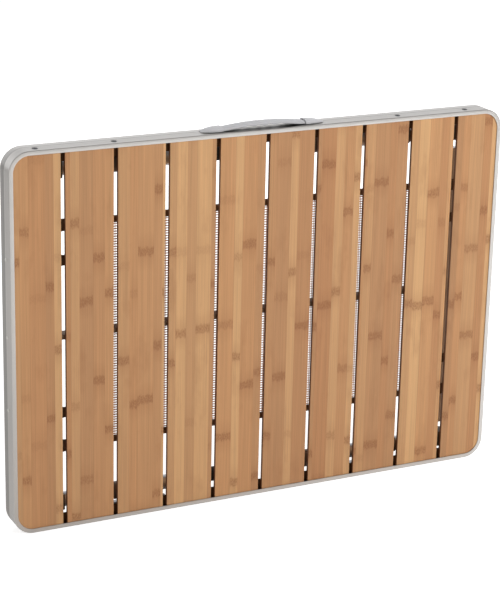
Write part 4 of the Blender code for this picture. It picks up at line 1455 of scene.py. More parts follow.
@dataclass
class StorageNet(Assembly):
    """The flat net across the legs' side, with its sewn hems."""

    middle: float = 0.324
    half_height: float = 0.197
    front: float = 0.008
    thickness: float = 0.0012
    hem: float = 0.012
    hem_excess: float = 0.0001
    hem_round: float = 0.0005
    tucked: float = 0.004
    pitch_across: float = 0.0050
    pitch_up: float = 0.0043
    thread_width: float = 0.0010
    level_width: float = 0.0017
    thread_depth: float = 0.0007
    wave: float = 0.00024
    stitch: float = 0.0032
    stitch_pitch: float = 0.0046
    stitch_start: float = 0.15
    stitch_rows: Pair = (0.0022, 0.0098)
    stitch_shares: tuple[float, ...] = (0.0, 0.2, 0.8, 1.0)
    stitch_lifts: tuple[float, ...] = (0.0, 0.00018, 0.00018, 0.0)
    stitch_half_width: float = 0.00028
    stitch_gap: float = 0.00005
    stitch_sunk: float = 0.0001
    smooth: float = 80.0
    hem_smooth: float = 50.0

    @property
    def centre_y(self) -> float:
        """The depth of the net's middle."""
        return self.front + self.thickness / 2

    def edges(self, inset: float) -> tuple[float, float, float, float]:
        """Left, right, low and high edge of the net, moved inwards."""
        low, high = self.middle - self.half_height, self.middle + self.half_height
        return NET_ENDS["left"] + inset, NET_ENDS["right"] - inset, low + inset, high - inset

    def thread(self, line: Array, across: int, width: float) -> Array:
        """The corners of a flat thread along a line of points.

        Args:
            line: The thread's centre line.
            across: The axis that its width lies along, 0 for X or 2 for Z.
            width: Its width.

        Returns:
            Rings of four points.
        """
        wide = np.zeros(3)
        wide[across] = width / 2
        deep = np.array((0.0, self.thread_depth / 2, 0.0))
        upper, lower = line + deep, line - deep
        return np.stack((upper + wide, upper - wide, lower - wide, lower + wide), axis=1)

    def mesh_surface(self) -> Surface:
        """Threads that pass over and under each other.

        At the crossing of upright thread i and level thread j the upright one lies off the
        net's middle by the wave times (-1)^(i + j), and the level one by as much the other way.

        Returns:
            The surface of every thread.
        """
        low_x, high_x, low_z, high_z = self.edges(self.hem)
        columns = round((high_x - low_x) / self.pitch_across)
        rows = round((high_z - low_z) / self.pitch_up)
        across = low_x + (np.arange(columns) + 0.5) * (high_x - low_x) / columns
        up = low_z + (np.arange(rows) + 0.5) * (high_z - low_z) / rows
        heights = np.concatenate(([low_z - self.tucked], up, [high_z + self.tucked]))
        stations = np.concatenate(([low_x - self.tucked], across, [high_x + self.tucked]))
        surface = Surface()
        for axis, places, run, width, wave in (
            (0, across, heights, self.thread_width, self.wave),
            (2, up, stations, self.level_width, -self.wave),
        ):
            for number, place in enumerate(places):
                line = np.full((len(run), 3), place)
                line[:, 1] = self.centre_y + wave * (-1.0) ** (number + np.arange(len(run)))
                line[:, 2 - axis] = run
                surface.tube(self.thread(line, axis, width))
        return surface

    def hem_surface(self) -> Surface:
        """A flat tape round the net: one rounded section carried to the four corners.

        Returns:
            The tape's surface.
        """
        half = self.thickness / 2 + self.hem_excess
        section = box_ring((0.0, -half), (self.hem, half), self.hem_round)
        left, right, low, high = self.edges(0.0)
        stations = []
        for place_x, place_z, inwards, up in (
            (left, low, 1, 1), (right, low, -1, 1), (right, high, -1, -1), (left, high, 1, -1),
        ):
            along_x = place_x + inwards * section[:, 0]
            along_z = place_z + up * section[:, 0]
            stations.append(np.column_stack((along_x, self.centre_y + section[:, 1], along_z)))
        return Surface().grid(np.stack(stations), wrap_rows=True, wrap_columns=True)

    def stitch_rings(self, first: Array, along: Array, side: float) -> Array:
        """One raised stitch that lies on the hem.

        Args:
            first: Where it starts, as X, any Y, and Z.
            along: The direction that it runs in.
            side: -1 for the front of the hem and 1 for its back.

        Returns:
            Rings of four points.
        """
        base = self.centre_y + side * (self.thickness / 2 + self.stitch_gap)
        wide = np.cross(along, (0.0, 1.0, 0.0)) * self.stitch_half_width
        line = first + along * self.stitch * np.array(self.stitch_shares)[:, None]
        line[:, 1] = base + side * np.array(self.stitch_lifts)
        under = line.copy()
        under[:, 1] = base - side * self.stitch_sunk
        return np.stack((line + wide, line - wide, under - wide, under + wide), axis=1)

    def stitch_surface(self) -> Surface:
        """Two rows of short raised stitches along every hem, on both faces.

        Returns:
            The surface of every stitch.
        """
        surface = Surface()
        for side in (-1.0, 1.0):
            for row in self.stitch_rows:
                left, right, low, high = self.edges(row)
                for ends in (
                    ((left, low), (right, low)), ((left, high), (right, high)),
                    ((left, low), (left, high)), ((right, low), (right, high)),
                ):
                    start, end = (np.array((place_x, 0.0, place_z)) for place_x, place_z in ends)
                    length = np.linalg.norm(end - start)
                    along = (end - start) / length
                    for number in range(int(length / self.stitch_pitch)):
                        first = start + along * (number + self.stitch_start) * self.stitch_pitch
                        surface.tube(self.stitch_rings(first, along, side))
        return surface

    def build(self) -> None:
        """Make the net, its hem and the hem's stitches."""
        materials = self.wardrobe.materials
        net = piece("net_mesh", self.mesh_surface(), materials[Finish.NET], self.smooth)
        hem = piece("net_hem", self.hem_surface(), materials[Finish.HEM], self.hem_smooth)
        stitches = piece("net_hem_stitches", self.stitch_surface(), materials[Finish.STITCH], self.smooth)
        for part in (net, hem, stitches):
            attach(part, "root")
        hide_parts("storage_net")


@dataclass
class Handle(Assembly):
    """The arched grip on the upper long edge and the moulded caps that hold its ends."""

    left: float = -0.0775
    right: float = 0.0715
    half_width: float = 0.0112
    end_narrowing: float = 0.001
    rise: float = 0.0104
    end_rise: float = 0.0055
    clearance: float = 0.0045
    shoulder: float = 0.045
    scallop_count: int = 4
    scallop_pitch: float = 0.0195
    scallop_rise: float = 0.0016
    stations: int = 150
    tongue_length: float = 0.0125
    tongue_half_width: float = 0.0055
    tongue_thickness: float = 0.0016
    tongue_clearance: float = 0.0004
    tongue_round: float = 0.0004
    lift: float = 0.003
    cap_length: float = 0.0365
    cap_gap: float = 0.0010
    cap_floor: float = 0.0001
    cap_height: float = 0.0074
    cap_toe: float = 0.0012
    cap_half_width: float = 0.0120
    cap_toe_half_width: float = 0.0050
    cap_power: float = 2.6
    cap_stations: int = 30
    pocket_half_width: float = 0.0063
    gap: float = 0.0003
    edge: float = 0.0008
    cap_edge: float = 0.0002
    dome_start: float = 0.25
    dome_power: float = 2.8
    dome_points: int = 15
    edge_limit: float = 0.9

    def grip_heights(self, place_x: Array) -> tuple[Array, Array, Array]:
        """Underside, crown and half width of the grip along it.

        With s the distance from the middle over half the length, the crown is the end's height
        plus the rest of the rise times (1 - s squared). The underside climbs from the tongues'
        height by a smooth step over the shoulder, with scallops of sin squared.

        Args:
            place_x: Places along the grip.

        Returns:
            The three measures at each place.
        """
        centre = (self.left + self.right) / 2
        half = (self.right - self.left) / 2
        share = np.abs(place_x - centre) / half
        crown = self.end_rise + (self.rise - self.end_rise) * (1 - share**2)
        step = np.clip((1 - share) * half / self.shoulder, 0.0, 1.0)
        climb = self.clearance - self.tongue_clearance
        under = self.tongue_clearance + climb * step * step * (3 - 2 * step)
        waves = (place_x - centre) / self.scallop_pitch
        inside = np.abs(waves) < self.scallop_count / 2
        under = under + inside * self.scallop_rise * np.sin(np.pi * waves) ** 2
        return under, crown, self.half_width - self.end_narrowing * share**2

    def section(
        self, place_x: float, low: float, high: float, half_width: float, edge: float
    ) -> Array:
        """A section across the handle: flat below with rounded edges, domed above.

        Above the dome's start the outline is a superellipse: the height's share plus the half
        width's share, each to the dome's power, make one.

        Args:
            place_x: Where the section lies.
            low, high: Its underside and crown, above the rim.
            half_width: Half its width.
            edge: The radius of its lower edges.

        Returns:
            The ring of points.
        """
        shoulder = low + (high - low) * self.dome_start
        edge = min(edge, (shoulder - low) * self.edge_limit)
        angle = np.radians(np.linspace(0.0, 90.0, self.dome_points))
        across = half_width * np.cos(angle) ** (2 / self.dome_power)
        up = shoulder + (high - shoulder) * np.sin(angle) ** (2 / self.dome_power)
        foot = arc((half_width - edge, low + edge), edge, -90, 0, 4)
        right = np.concatenate((foot, np.column_stack((across, up))))
        ring = np.concatenate((right, right[::-1][1:] * (-1, 1)))
        return np.column_stack((np.full(len(ring), place_x), ring[:, 0], ring[:, 1] + WIDTH))

    def grip_surface(self) -> Surface:
        """The grip's sections from end to end, and its two tongues.

        Returns:
            The grip's surface.
        """
        places = np.linspace(self.left, self.right, self.stations)
        rings = [self.section(*measures, self.edge) for measures in zip(places, *self.grip_heights(places))]
        surface = Surface().tube(np.stack(rings))
        low = WIDTH + self.tongue_clearance + self.gap
        high = low + self.tongue_thickness
        half = self.tongue_half_width
        section = box_ring((-half, low), (half, high), self.tongue_round)
        for end, outwards in ((self.left, -1.0), (self.right, 1.0)):
            ends = (end - outwards * self.tongue_thickness, end + outwards * self.tongue_length)
            surface.tube(repeated(section, ends))
        return surface

    def cap_surface(self, mouth: float, outwards: float) -> Surface:
        """A cap whose height and width drop from its mouth to its toe.

        At the angle t the section lies a share sin t of the length from the mouth, and has
        dropped by that share to the cap's power.

        Args:
            mouth: Where the mouth lies along the rim.
            outwards: Which way the toe points.

        Returns:
            The closed surface.
        """
        rings = []
        for turn in np.linspace(0.0, math.pi / 2, self.cap_stations):
            share = math.sin(turn)
            drop = share**self.cap_power
            place_x = mouth + outwards * self.cap_length * share
            height = self.cap_height + (self.cap_toe - self.cap_height) * drop
            half_width = self.cap_half_width + (self.cap_toe_half_width - self.cap_half_width) * drop
            rings.append(self.section(place_x, self.cap_floor, height, half_width, self.cap_edge))
        return Surface().tube(np.stack(rings))

    def pocket(self, grip_end: float, outwards: float) -> Surface:
        """The hollow in which a tongue slides: a plain block to cut with.

        Args:
            grip_end: Where the grip ends.
            outwards: Which way its tongue points.

        Returns:
            The block.
        """
        end = grip_end + outwards * (self.tongue_length + self.cap_gap)
        ceiling = WIDTH + self.tongue_clearance + self.tongue_thickness + self.lift + 3 * self.gap
        half = self.pocket_half_width
        return block((-half, WIDTH - self.gap), (half, ceiling), (grip_end, end))

    def build(self) -> None:
        """Make the grip and its caps."""
        self.add("grip", self.grip_surface(), Finish.GRIP, "handle", "carry_handle")
        for side, grip_end in (("left", self.left), ("right", self.right)):
            outwards = SIDES[side]
            surface = self.cap_surface(grip_end + outwards * self.cap_gap, outwards)
            cap = self.add("grip_cap_" + side, surface, Finish.GRIP_CAP, "root", "handle_cap_" + side)
            cut_away(cap, [self.pocket(grip_end, outwards)])


@dataclass
class SidePlate(CornerAssembly):
    """The steel plate behind the rim at one corner, with the leg's and the brace's bolts."""

    low: Pair = (-0.005, 0.0103)
    high: Pair = (0.141, 0.0240)
    round: float = 0.004
    edge: float = 0.0003
    front: float = 0.0028
    rear: float = 0.0048
    shank_depth: float = 0.001
    head: float = 0.0045
    head_inset: float = 0.0002
    head_end: float = 0.0009
    recess: Triple = (0.0013, 0.0015, 0.0005)
    shank: float = 0.003
    boss: float = 0.005
    boss_end: float = 0.0250
    pin_end: float = 0.0447
    post: float = 0.004
    post_end: float = 0.0117
    pin: float = 0.0025
    pin_head: float = 0.0148
    pin_head_end: float = 0.0165

    def bolt(self, *runs: Pair) -> Array:
        """A bolt's profile: its domed head with a round recess, the shank, and what follows.

        Args:
            runs: The radius of each run behind the shank and the inset at which it ends.

        Returns:
            Pairs of radius and inset.
        """
        inner, outer, sunk = self.recess
        shank = (self.shank, self.front + self.shank_depth)
        # The small steps at the head's rim make its dome.
        return line_of(
            (0.0, self.head_inset + sunk), (inner, self.head_inset + sunk), (outer, self.head_inset),
            (self.head - 0.0010, self.head_inset + 0.0001), (self.head, self.head_end - 0.0002),
            (self.head, self.head_end), *stepped(self.head_end, shank, *runs)[1:], fillet=self.edge,
        )

    def build(self) -> None:
        """Make the plate and its two bolts."""
        flat = rounded_rectangle(self.low, self.high, (self.round,) * 4, 10)
        base = plate(flat, self.front, self.rear, self.edge)
        pivot = self.bolt((self.boss, self.boss_end), (self.shank, self.pin_end))
        anchor = self.bolt(
            (self.post, self.post_end), (self.pin, self.pin_head), (self.head, self.pin_head_end),
        )
        for name, surface, finish in (
            ("hinge_plate_", base, Finish.STEEL),
            ("pivot_bolt_", PLAN.inwards(pivot, 0.0, PLAN.pivot_depth), Finish.BOLT),
            ("anchor_bolt_", PLAN.inwards(anchor, PLAN.anchor_reach, PLAN.pivot_depth), Finish.BOLT),
        ):
            self.part(name, surface, finish, "root", "side_plate_")


@dataclass
class Leg(CornerAssembly):
    """One leg: its head, tubes, collar, foot and the folding brace."""

    head_round: float = 0.0055
    head_corner: float = 0.0022
    head_edge: float = 0.0009
    head_half_width: float = 0.0137
    head_depths: Pair = (0.0145, 0.0425)
    head_reach: float = 0.046
    head_heel: Triple = (0.006, 0.030, 0.024)
    bore_end: float = 0.09
    pivot_hole: Pair = (0.0033, 0.045)
    recess: Triple = (0.0043, 0.006, 0.1)
    socket: float = 0.024
    outer: Pair = (0.0110, 0.0125)
    outer_end: float = 0.262
    outer_round: float = 0.0005
    inner: Pair = (0.0080, 0.0095)
    inner_reach: Pair = (0.060, 0.325)
    bush: Pair = (0.0107, 0.012)
    small_round: float = 0.0004
    foot_radius: float = 0.0125
    foot_reach: Pair = (0.305, 0.335)
    foot_chamfers: Pair = (0.001, 0.002)
    foot_grooves: Triple = (0.008, 0.013, 0.018)
    foot_groove: Triple = (0.0009, 0.0004, 0.0006)
    collar_reach: Pair = (0.255, 0.290)
    collar_radius: float = 0.0150
    collar_band: float = 0.0045
    collar_slope: float = 0.0012
    collar_groove: float = 0.0012
    collar_ribs: int = 12
    rib_steps: int = 12
    valley: Triple = (0.75, 0.12, 0.13)
    saddle_reach: Pair = (0.104, 0.146)
    saddle_radius: float = 0.0150
    saddle_band: Triple = (0.008, 0.009, 0.0008)
    stud_radius: float = 0.005
    stud_head: float = 0.0017
    link_half_width: float = 0.005
    link_thickness: float = 0.0025
    link_steps: int = 22
    frame_link: float = 0.012
    leg_link: float = 0.017
    rivet_head: float = 0.0045
    rivet: float = 0.0025
    rivet_dome: float = 0.0012
    rivet_round: float = 0.0003

    def head_piece(self) -> None:
        """The moulded head, with its socket, its bore and the cross member's recess."""
        front, rear = self.head_depths
        heel_reach, heel_low, heel_high = self.head_heel
        curve = arc((0.0, PLAN.pivot_depth), self.head_round, 180, 270, 14)
        straight = filleted(
            ((self.socket / 2, front - self.head_round / 2), (self.socket, front), (self.head_reach, front),
             (self.head_reach, rear), (heel_reach, rear), (-self.head_round, heel_low),
             (-self.head_round, heel_high)),
            self.head_corner, False, 6,
        )
        low, high = PLAN.inset - self.head_half_width, PLAN.inset + self.head_half_width
        surface = plate(drawn_in(np.concatenate((curve, straight))), low, high, self.head_edge, 4)
        head = self.part("head_", surface, Finish.MOULDING, self.frame, "leg_head_")
        radius, depth, end = self.recess
        cutters = (
            PLAN.along(stepped(self.socket, (self.outer[1] + PLAN.gap, self.bore_end)), False),
            PLAN.inwards(stepped(0.0, self.pivot_hole), 0.0, PLAN.pivot_depth),
            PLAN.inwards(stepped(high - depth, (radius, end)), *PLAN.cross_member),
        )
        cut_away(head, [cutter.placed(self.corner.matrix()) for cutter in cutters])

    def tube_pieces(self) -> None:
        """The outer tube, and the sliding tube with its bush."""
        bore, radius = self.outer
        start, end = self.socket + PLAN.gap, self.outer_end
        ring = box_ring((bore, start), (radius, end), self.outer_round)
        self.part("leg_", PLAN.along(ring, True), Finish.LEG_TUBE, self.frame, "outer_tube_")
        bore, radius = self.inner
        start, end = self.inner_reach
        bush, length = self.bush
        steps = stepped(start, (bush, start + length), (radius, end))[1:-1]
        ring = ring_of((bore, start), *steps, (bore, end), fillet=self.small_round)
        self.part("slider_", PLAN.along(ring, True), Finish.INNER_TUBE, "leg_extension_", "inner_tube_")

    def foot_piece(self) -> None:
        """The rubber foot, with three grooves round it."""
        first, last = self.foot_reach
        socket, start = self.inner[1] + PLAN.gap, self.inner_reach[1] + PLAN.gap
        foot = self.foot_radius
        small, large = self.foot_chamfers
        outer, inner, deep = self.foot_groove
        grooves = []
        for reach in self.foot_grooves:
            middle = first + reach
            grooves += [
                (foot, middle - outer), (foot - deep, middle - inner), (foot - deep, middle + inner),
                (foot, middle + outer),
            ]
        line = line_of(
            (0.0, start), (socket, start), (socket, first), (foot - small, first), (foot, first + large),
            *grooves, (foot, last - large), (foot - large, last), (0.0, last), fillet=self.small_round,
        )
        self.part("rubber_foot_", PLAN.along(line, False), Finish.FOOT, "leg_extension_", "foot_")

    def collar_piece(self) -> None:
        """The ribbed collar: grooves round its middle, plain bands at its ends.

        A point of the outer wall draws in by the groove's depth times its own weight times a
        smooth wave of the angle, which is 1 at a valley's middle and 0 on half of each rib's
        share.
        """
        low, high = self.collar_reach
        wide = self.outer[1] + PLAN.gap
        narrow = self.inner[1] + PLAN.gap
        step = self.outer_end + PLAN.gap
        full = self.collar_radius
        band, slope = self.collar_band, self.collar_slope
        # Each point has a radius, a reach and its weight. The small steps soften the edges.
        outer = np.array((
            (wide, low, 0), (wide + 0.0006, low, 0), (full - 0.0008, low, 0),
            (full - 0.0002, low + 0.0003, 0), (full, low + 0.001, 0), (full, low + band, 0),
            (full, low + band + slope, 1), (full, high - band - slope, 1), (full, high - band, 0),
            (full, high - 0.0016, 0), (full - 0.0004, high - 0.0006, 0), (full - 0.0014, high, 0),
            (narrow + 0.0005, high, 0), (narrow, high - 0.0004, 0), (narrow, step, 0), (wide, step, 0),
        ))
        sides = self.collar_ribs * self.rib_steps
        angle = np.linspace(0.0, 2 * math.pi, sides, endpoint=False)[:, None]
        rib = (angle * self.collar_ribs / (2 * math.pi)) % 1.0
        middle, flat, rise = self.valley
        wave = np.clip((np.abs(rib - middle) - flat) / rise, 0.0, 1.0)
        wave = 1.0 - wave * wave * (3 - 2 * wave)
        radius = outer[None, :, 0] - self.collar_groove * outer[None, :, 2] * wave
        reach = np.broadcast_to(outer[None, :, 1], radius.shape)
        depth = PLAN.axis_depth + radius * np.cos(angle)
        points = np.stack((reach, depth, PLAN.inset + radius * np.sin(angle)), -1)
        surface = Surface().grid(points, wrap_rows=True, wrap_columns=True)
        self.part("collar_ring_", surface, Finish.MOULDING, "collar_", "twist_collar_")

    def saddle_pieces(self) -> None:
        """The clamp round the tube and the stud that the brace turns on."""
        bore = self.outer[1] + PLAN.gap
        low, high = self.saddle_reach
        radius = self.saddle_radius
        band, slope, sunk = self.saddle_band
        ring = ring_of(
            (bore, low), (radius, low), (radius, low + band), (radius - sunk, low + slope),
            (radius - sunk, high - slope), (radius, high - band), (radius, high), (bore, high),
            fillet=sunk, steps=4,
        )
        self.part("clamp_", PLAN.along(ring, True), Finish.MOULDING, self.frame, "brace_saddle_")
        first = self.leg_link - PLAN.gap
        second = self.leg_link + self.link_thickness + PLAN.gap
        end = PLAN.inset - bore - PLAN.gap
        runs = ((self.rivet_head, first), (self.rivet, second), (self.stud_radius, end))
        stud = line_of(*stepped(first - self.stud_head, *runs), fillet=self.small_round)
        surface = PLAN.inwards(stud, PLAN.stud_reach, PLAN.axis_depth)
        self.part("clamp_stud_", surface, Finish.MOULDING, self.frame, "brace_saddle_")

    def link_piece(self, label: str, start: Sequence[float], inset: float, body: str, node: str) -> None:
        """One link of the brace, with the hole that it turns round.

        Args:
            label: The piece's name without the corner's.
            start: The reach and depth of that hole.
            inset: The inset of the link's outer face.
            body: The body that it rides on, without the corner's name.
            node: The solid that it stands for, without the corner's name.
        """
        thick = self.link_thickness
        outline = stadium(start, PLAN.knuckle, self.link_half_width, self.link_steps)
        surface = plate(outline, inset, inset + thick, self.small_round)
        link = self.part(label, surface, Finish.STEEL, body, node)
        hole = stepped(inset - thick, (self.rivet + PLAN.gap, inset + 2 * thick))
        cut_away(link, [PLAN.inwards(hole, *start).placed(self.corner.matrix())])

    def brace_pieces(self) -> None:
        """The two links of the folding brace and the knuckle's rivet."""
        thick, head, dome = self.link_thickness, self.rivet_head, self.rivet_dome
        anchor = (PLAN.anchor_reach, PLAN.pivot_depth)
        stud = (PLAN.stud_reach, PLAN.axis_depth)
        self.link_piece("link_outer_", anchor, self.frame_link, "brace_frame_link_", "brace_link_frame_")
        self.link_piece("link_inner_", stud, self.leg_link, "brace_leg_link_", "brace_link_leg_")
        low = self.frame_link - dome
        middle = self.frame_link + thick / 2
        end = self.leg_link - PLAN.gap
        # The small steps at the heads' rims make their domes.
        rivet = line_of(
            (0.0, low), (head - dome, low + 0.0001), (head, low + 0.0009), (head, middle),
            *stepped(middle, (self.rivet, end))[1:], fillet=self.rivet_round,
        )
        surface = PLAN.inwards(rivet, *PLAN.knuckle)
        self.part("knuckle_rivet_", surface, Finish.STEEL, "brace_frame_link_", "brace_link_frame_")
        middle = self.leg_link + thick / 2
        high = self.leg_link + thick + dome
        button = line_of(
            (0.0, middle), (head, middle), (head, high - 0.0008), (head - dome, high), (0.0, high),
            fillet=self.rivet_round,
        )
        surface = PLAN.inwards(button, *PLAN.knuckle)
        self.part("knuckle_button_", surface, Finish.STEEL, "brace_leg_link_", "brace_link_leg_")

    def build(self) -> None:
        """Make every piece of the leg."""
        self.head_piece()
        self.tube_pieces()
        self.foot_piece()
        self.collar_piece()
        self.saddle_pieces()
        self.brace_pieces()


@dataclass
class CrossMember(Assembly):
    """The bar that ties two legs together, with the spigots at its ends."""

    side: str
    radius: float = 0.010
    half_length: float = 0.255
    spigot: float = 0.004
    spigot_end: float = 0.2770
    round: float = 0.0008

    def build(self) -> None:
        """Make the bar."""
        spigot, body = (self.spigot, self.half_length), (self.radius, -self.half_length)
        runs = (spigot, body, (self.spigot, -self.spigot_end))
        profile = line_of(*stepped(self.spigot_end, *runs), fillet=self.round, steps=4)
        place = np.eye(4)
        place[:3, 3] = Corner(self.side, "bottom").point(*PLAN.cross_member, WIDTH / 2)
        surface = turned(profile, PLAN.sides, False).placed(place)
        frame, node = "leg_frame_" + self.side, "leg_cross_member_" + self.side
        self.add("cross_bar_" + self.side, surface, Finish.CROSS_BAR, frame, node)


@dataclass
class NetStrap(CornerAssembly):
    """One webbing strap: two loops round the cross member, sewn to a bar at the net's end."""

    loop_radius: float = 0.0103
    loop_steps: int = 44
    run_steps: int = 12
    thickness: float = 0.0011
    round: float = 0.0004
    middle_depth: float = 0.0306
    bar_width: float = 0.006
    bar_round: float = 0.0007
    bar_levels: int = 30
    sewn: float = 0.004
    heights: tuple[Pair, ...] = ((0.1225, 0.1395), (0.180, 0.200))
    bar_heights: Pair = (0.116, 0.196)
    smooth: float = 50.0

    def loop_line(self, tip: float) -> Array:
        """The middle of the webbing round the bar: an arc and the two tangents to the tip.

        Args:
            tip: The reach at which its two runs meet.

        Returns:
            Pairs of reach and depth, from the tip round the bar and back.
        """
        centre = PLAN.cross_member
        radius = self.loop_radius + self.thickness / 2
        away = np.array((tip - centre[0], self.middle_depth - centre[1]))
        heading = math.degrees(math.atan2(away[1], away[0]))
        half = math.degrees(math.acos(radius / np.linalg.norm(away)))
        curve = arc(centre, radius, heading + half, heading + 360 - half, self.loop_steps)
        end = np.array(((tip, self.middle_depth),))
        share = np.linspace(0.0, 1.0, self.run_steps)[1:-1, None]
        lead = end * (1 - share) + curve[0] * share
        back = curve[-1] * (1 - share) + end * share
        return np.concatenate((end, lead, curve, back, end))

    def webbing(self, line: Array, low: float, high: float) -> Array:
        """Thicken a line into a band.

        Args:
            line: The band's middle, as reach and depth.
            low, high: Its edges, as insets.

        Returns:
            The band's rings of points.
        """
        ahead = np.gradient(line, axis=0)
        length = np.linalg.norm(ahead, axis=1, keepdims=True)
        normal = np.column_stack((-ahead[:, 1], ahead[:, 0])) / np.maximum(length, 1e-9)
        half = self.thickness / 2
        section = box_ring((-half, low), (half, high), self.round)
        flat = line[:, None, :] + normal[:, None, :] * section[None, :, :1]
        level = np.broadcast_to(section[None, :, 1:], (len(line), len(section), 1))
        return np.concatenate((flat, level), axis=-1)

    def bar(self, start: float, end: float) -> Array:
        """The flat bar that both loops are sewn to.

        Args:
            start, end: The reach of its two edges.

        Returns:
            The bar's rings of points.
        """
        low, high = self.middle_depth - self.thickness, self.middle_depth + self.thickness
        section = box_ring((start, low), (end, high), self.bar_round, 4)
        inner, outer = self.bar_heights
        levels = np.linspace(WIDTH / 2 - outer, WIDTH / 2 - inner, self.bar_levels)
        return np.stack([np.column_stack((section, np.full(len(section), level))) for level in levels])

    def build(self) -> None:
        """Make the strap, between the net and the leg frame."""
        net_end = NET_ENDS[self.corner.side]
        bar_end = abs(net_end - self.corner.pivot_x) - PLAN.gap
        bar_start = bar_end - 2 * self.bar_width
        loop = self.loop_line(bar_start + self.sewn)
        surface = Surface()
        for inner, outer in self.heights:
            band = self.webbing(loop, WIDTH / 2 - outer, WIDTH / 2 - inner)
            surface.tube(band)
        surface.tube(self.bar(bar_start, bar_end))
        surface.placed(self.corner.matrix())
        material = self.wardrobe.materials[Finish.WEBBING]
        strap = piece("strap_" + self.corner.name, surface, material, self.smooth)
        start = self.corner.point(bar_start, self.middle_depth, 0.0)
        end = self.corner.point(PLAN.cross_member[0] + self.loop_radius, self.middle_depth, 0.0)
        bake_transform(strap)
        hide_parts("net_strap_" + self.corner.name)


# The photograph's studio


def sight(nodes: Nodes) -> tuple[Outputs, Socket]:
    """The light path, and whether the camera sees a point, also through something clear."""
    path = nodes.add("ShaderNodeLightPath").outputs
    return path, nodes.math('MAXIMUM', path["Is Camera Ray"], path["Is Transmission Ray"])


@dataclass(frozen=True)
class Lamp:
    """A soft square lamp: where it hangs, its side, its power in watts and what it points at."""

    name: str
    place: Point
    size: float
    power: float
    target: Point = (0.0, 0.0, 0.33)

    def build(self) -> None:
        """Hang the lamp, unseen in reflections."""
        data = bpy.data.lights.new(self.name, 'AREA')
        data.size = self.size
        data.energy = self.power
        lamp = new_object(self.name, data)
        lamp.visible_glossy = False
        lamp.location = self.place
        lamp.rotation_mode = 'QUATERNION'
        lamp.rotation_quaternion = (Vector(self.target) - Vector(self.place)).to_track_quat('-Z', 'Y')


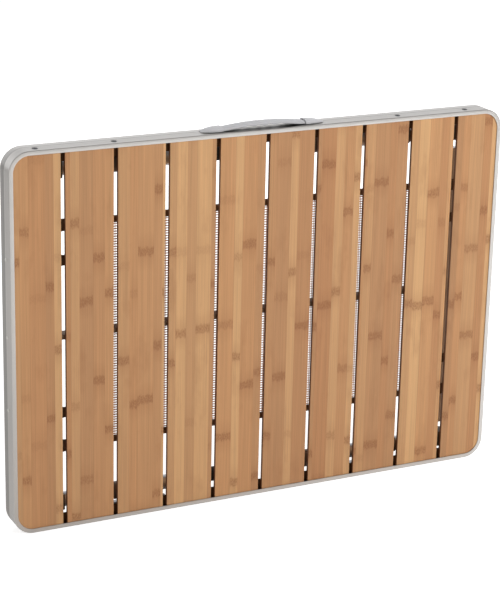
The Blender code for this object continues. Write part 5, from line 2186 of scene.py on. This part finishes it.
@dataclass(frozen=True)
class Photograph:
    """The camera at the photograph's place, the studio and its light."""

    place: Point = (-1.4395, -2.8866, 1.4092)
    angles: Point = (26.227, 18.234, -1.323)
    lens: float = 120.32
    sensor: float = 36.0
    nearest: float = 0.05
    front_tone: Colour = (1.0, 0.965, 0.93)
    rear_tone: Colour = (0.98, 0.985, 1.0)
    rearwards: Pair = (-0.3, 0.7)
    fill: Pair = (0.42, 1.02)
    upwards: Pair = (0.35, 0.8)
    ceiling: float = 0.46
    floor_tone: Colour = (0.80, 0.80, 0.80)
    floor_roughness: float = 0.9
    floor_specular: float = 0.1
    floor_half: float = 14.0
    floor_drop: float = 0.0005
    floor_glow: float = 0.68
    floor_mirrored: Ramp = (-0.6, 0.4, 0.06, 0.36)
    lamps: tuple[Lamp, ...] = (
        Lamp("key_lamp", (1.9, -2.6, 2.4), 1.8, 88.0),
        Lamp("side_lamp", (-2.4, -2.4, 1.5), 1.6, 12.0),
        Lamp("rear_lamp", (1.3, 3.0, 1.9), 1.8, 30.0),
        Lamp("top_lamp", (0.2, 0.4, 2.8), 1.6, 6.0, (0.0, 0.0, 0.5)),
    )

    def camera(self) -> None:
        """Stand the camera where the photograph was taken from, at its yaw, pitch and roll."""
        yaw, pitch, roll = (math.radians(angle) for angle in self.angles)
        ahead = Vector((math.sin(yaw) * math.cos(pitch), math.cos(yaw) * math.cos(pitch), -math.sin(pitch)))
        level = Vector((math.cos(yaw), -math.sin(yaw), 0.0))
        down = ahead.cross(level)
        right = math.cos(roll) * level + math.sin(roll) * down
        below = -math.sin(roll) * level + math.cos(roll) * down
        data = bpy.data.cameras.new("photo_camera")
        data.lens = self.lens
        data.sensor_width = self.sensor
        data.clip_start = self.nearest
        camera = new_object("photo_camera", data)
        turn = Matrix((right, -below, -ahead)).transposed().to_4x4()
        camera.matrix_world = Matrix.Translation(self.place) @ turn
        bpy.context.scene.camera = camera

    def floor(self) -> None:
        """Lay the pale floor, which shows white to the camera and keeps the table's shadow."""
        nodes = Shading("studio_floor", self.floor_tone)
        nodes.fill(nodes.shader, {
            "Base Color": toned(self.floor_tone),
            "Roughness": self.floor_roughness,
            "Specular IOR Level": self.floor_specular,
        })
        path, seen = sight(nodes)
        along = nodes.spread(nodes.parts(nodes.place)[0], *self.floor_mirrored)
        mirrored = nodes.product(path["Is Glossy Ray"], along)
        strength = nodes.math('ADD', nodes.product(seen, self.floor_glow), mirrored)
        glow = nodes.add("ShaderNodeEmission", {"Color": WHITE, "Strength": strength})
        both = nodes.add("ShaderNodeAddShader", {0: nodes.shader.outputs[0], 1: glow.outputs[0]})
        nodes.fill(nodes.tree.nodes["Material Output"], {"Surface": both.outputs[0]})
        mesh = bpy.data.meshes.new("studio_floor")
        half = self.floor_half
        corners = [(-half, -half, 0), (half, -half, 0), (half, half, 0), (-half, half, 0)]
        mesh.from_pydata(corners, [], [(0, 1, 2, 3)])
        mesh.materials.append(nodes.material)
        floor = new_object("studio_floor", mesh)
        floor.location = (0.0, 0.0, -self.floor_drop)

    def world(self) -> None:
        """Fill the studio with soft light, brightest low behind the table, and show it white."""
        world = bpy.data.worlds.new("studio")
        bpy.context.scene.world = world
        world.use_nodes = True
        nodes = Nodes(world.node_tree)
        seen = sight(nodes)[1]
        heading = nodes.parts(nodes.coordinates("Generated"))
        rearwards = nodes.spread(heading[1], *self.rearwards)
        level = nodes.spread(heading[1], *self.rearwards, *self.fill)
        dimmed = nodes.product(level, nodes.spread(heading[2], *self.upwards, 1.0, self.ceiling))
        tone = nodes.mix(rearwards, toned(self.front_tone), toned(self.rear_tone))
        fill = nodes.fill(nodes.tree.nodes["Background"], {"Color": tone, "Strength": dimmed})
        white = nodes.add("ShaderNodeBackground", {"Color": WHITE, "Strength": 1.0})
        both = nodes.add("ShaderNodeMixShader", {0: seen, 1: fill.outputs[0], 2: white.outputs[0]})
        nodes.fill(nodes.tree.nodes["World Output"], {"Surface": both.outputs[0]})

    def build(self) -> None:
        """Set up the camera, the floor, the world and the lamps."""
        bpy.context.scene.view_settings.view_transform = 'Standard'
        self.camera()
        self.floor()
        self.world()
        for lamp in self.lamps:
            lamp.build()


def main() -> None:
    """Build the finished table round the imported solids."""
    logging.basicConfig(level=logging.INFO, format="%(name)s: %(message)s")
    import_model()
    Photograph().build()
    wardrobe = Wardrobe()
    Rim(wardrobe).build()
    Slats(wardrobe).build()
    CentreRail(wardrobe).build()
    Handle(wardrobe).build()
    for corner in CORNERS:
        SidePlate(wardrobe, corner).build()
        Leg(wardrobe, corner).build()
        NetStrap(wardrobe, corner).build()
    for side in SIDES:
        CrossMember(wardrobe, side).build()
    StorageNet(wardrobe).build()


if __name__ == "__main__":
    main()
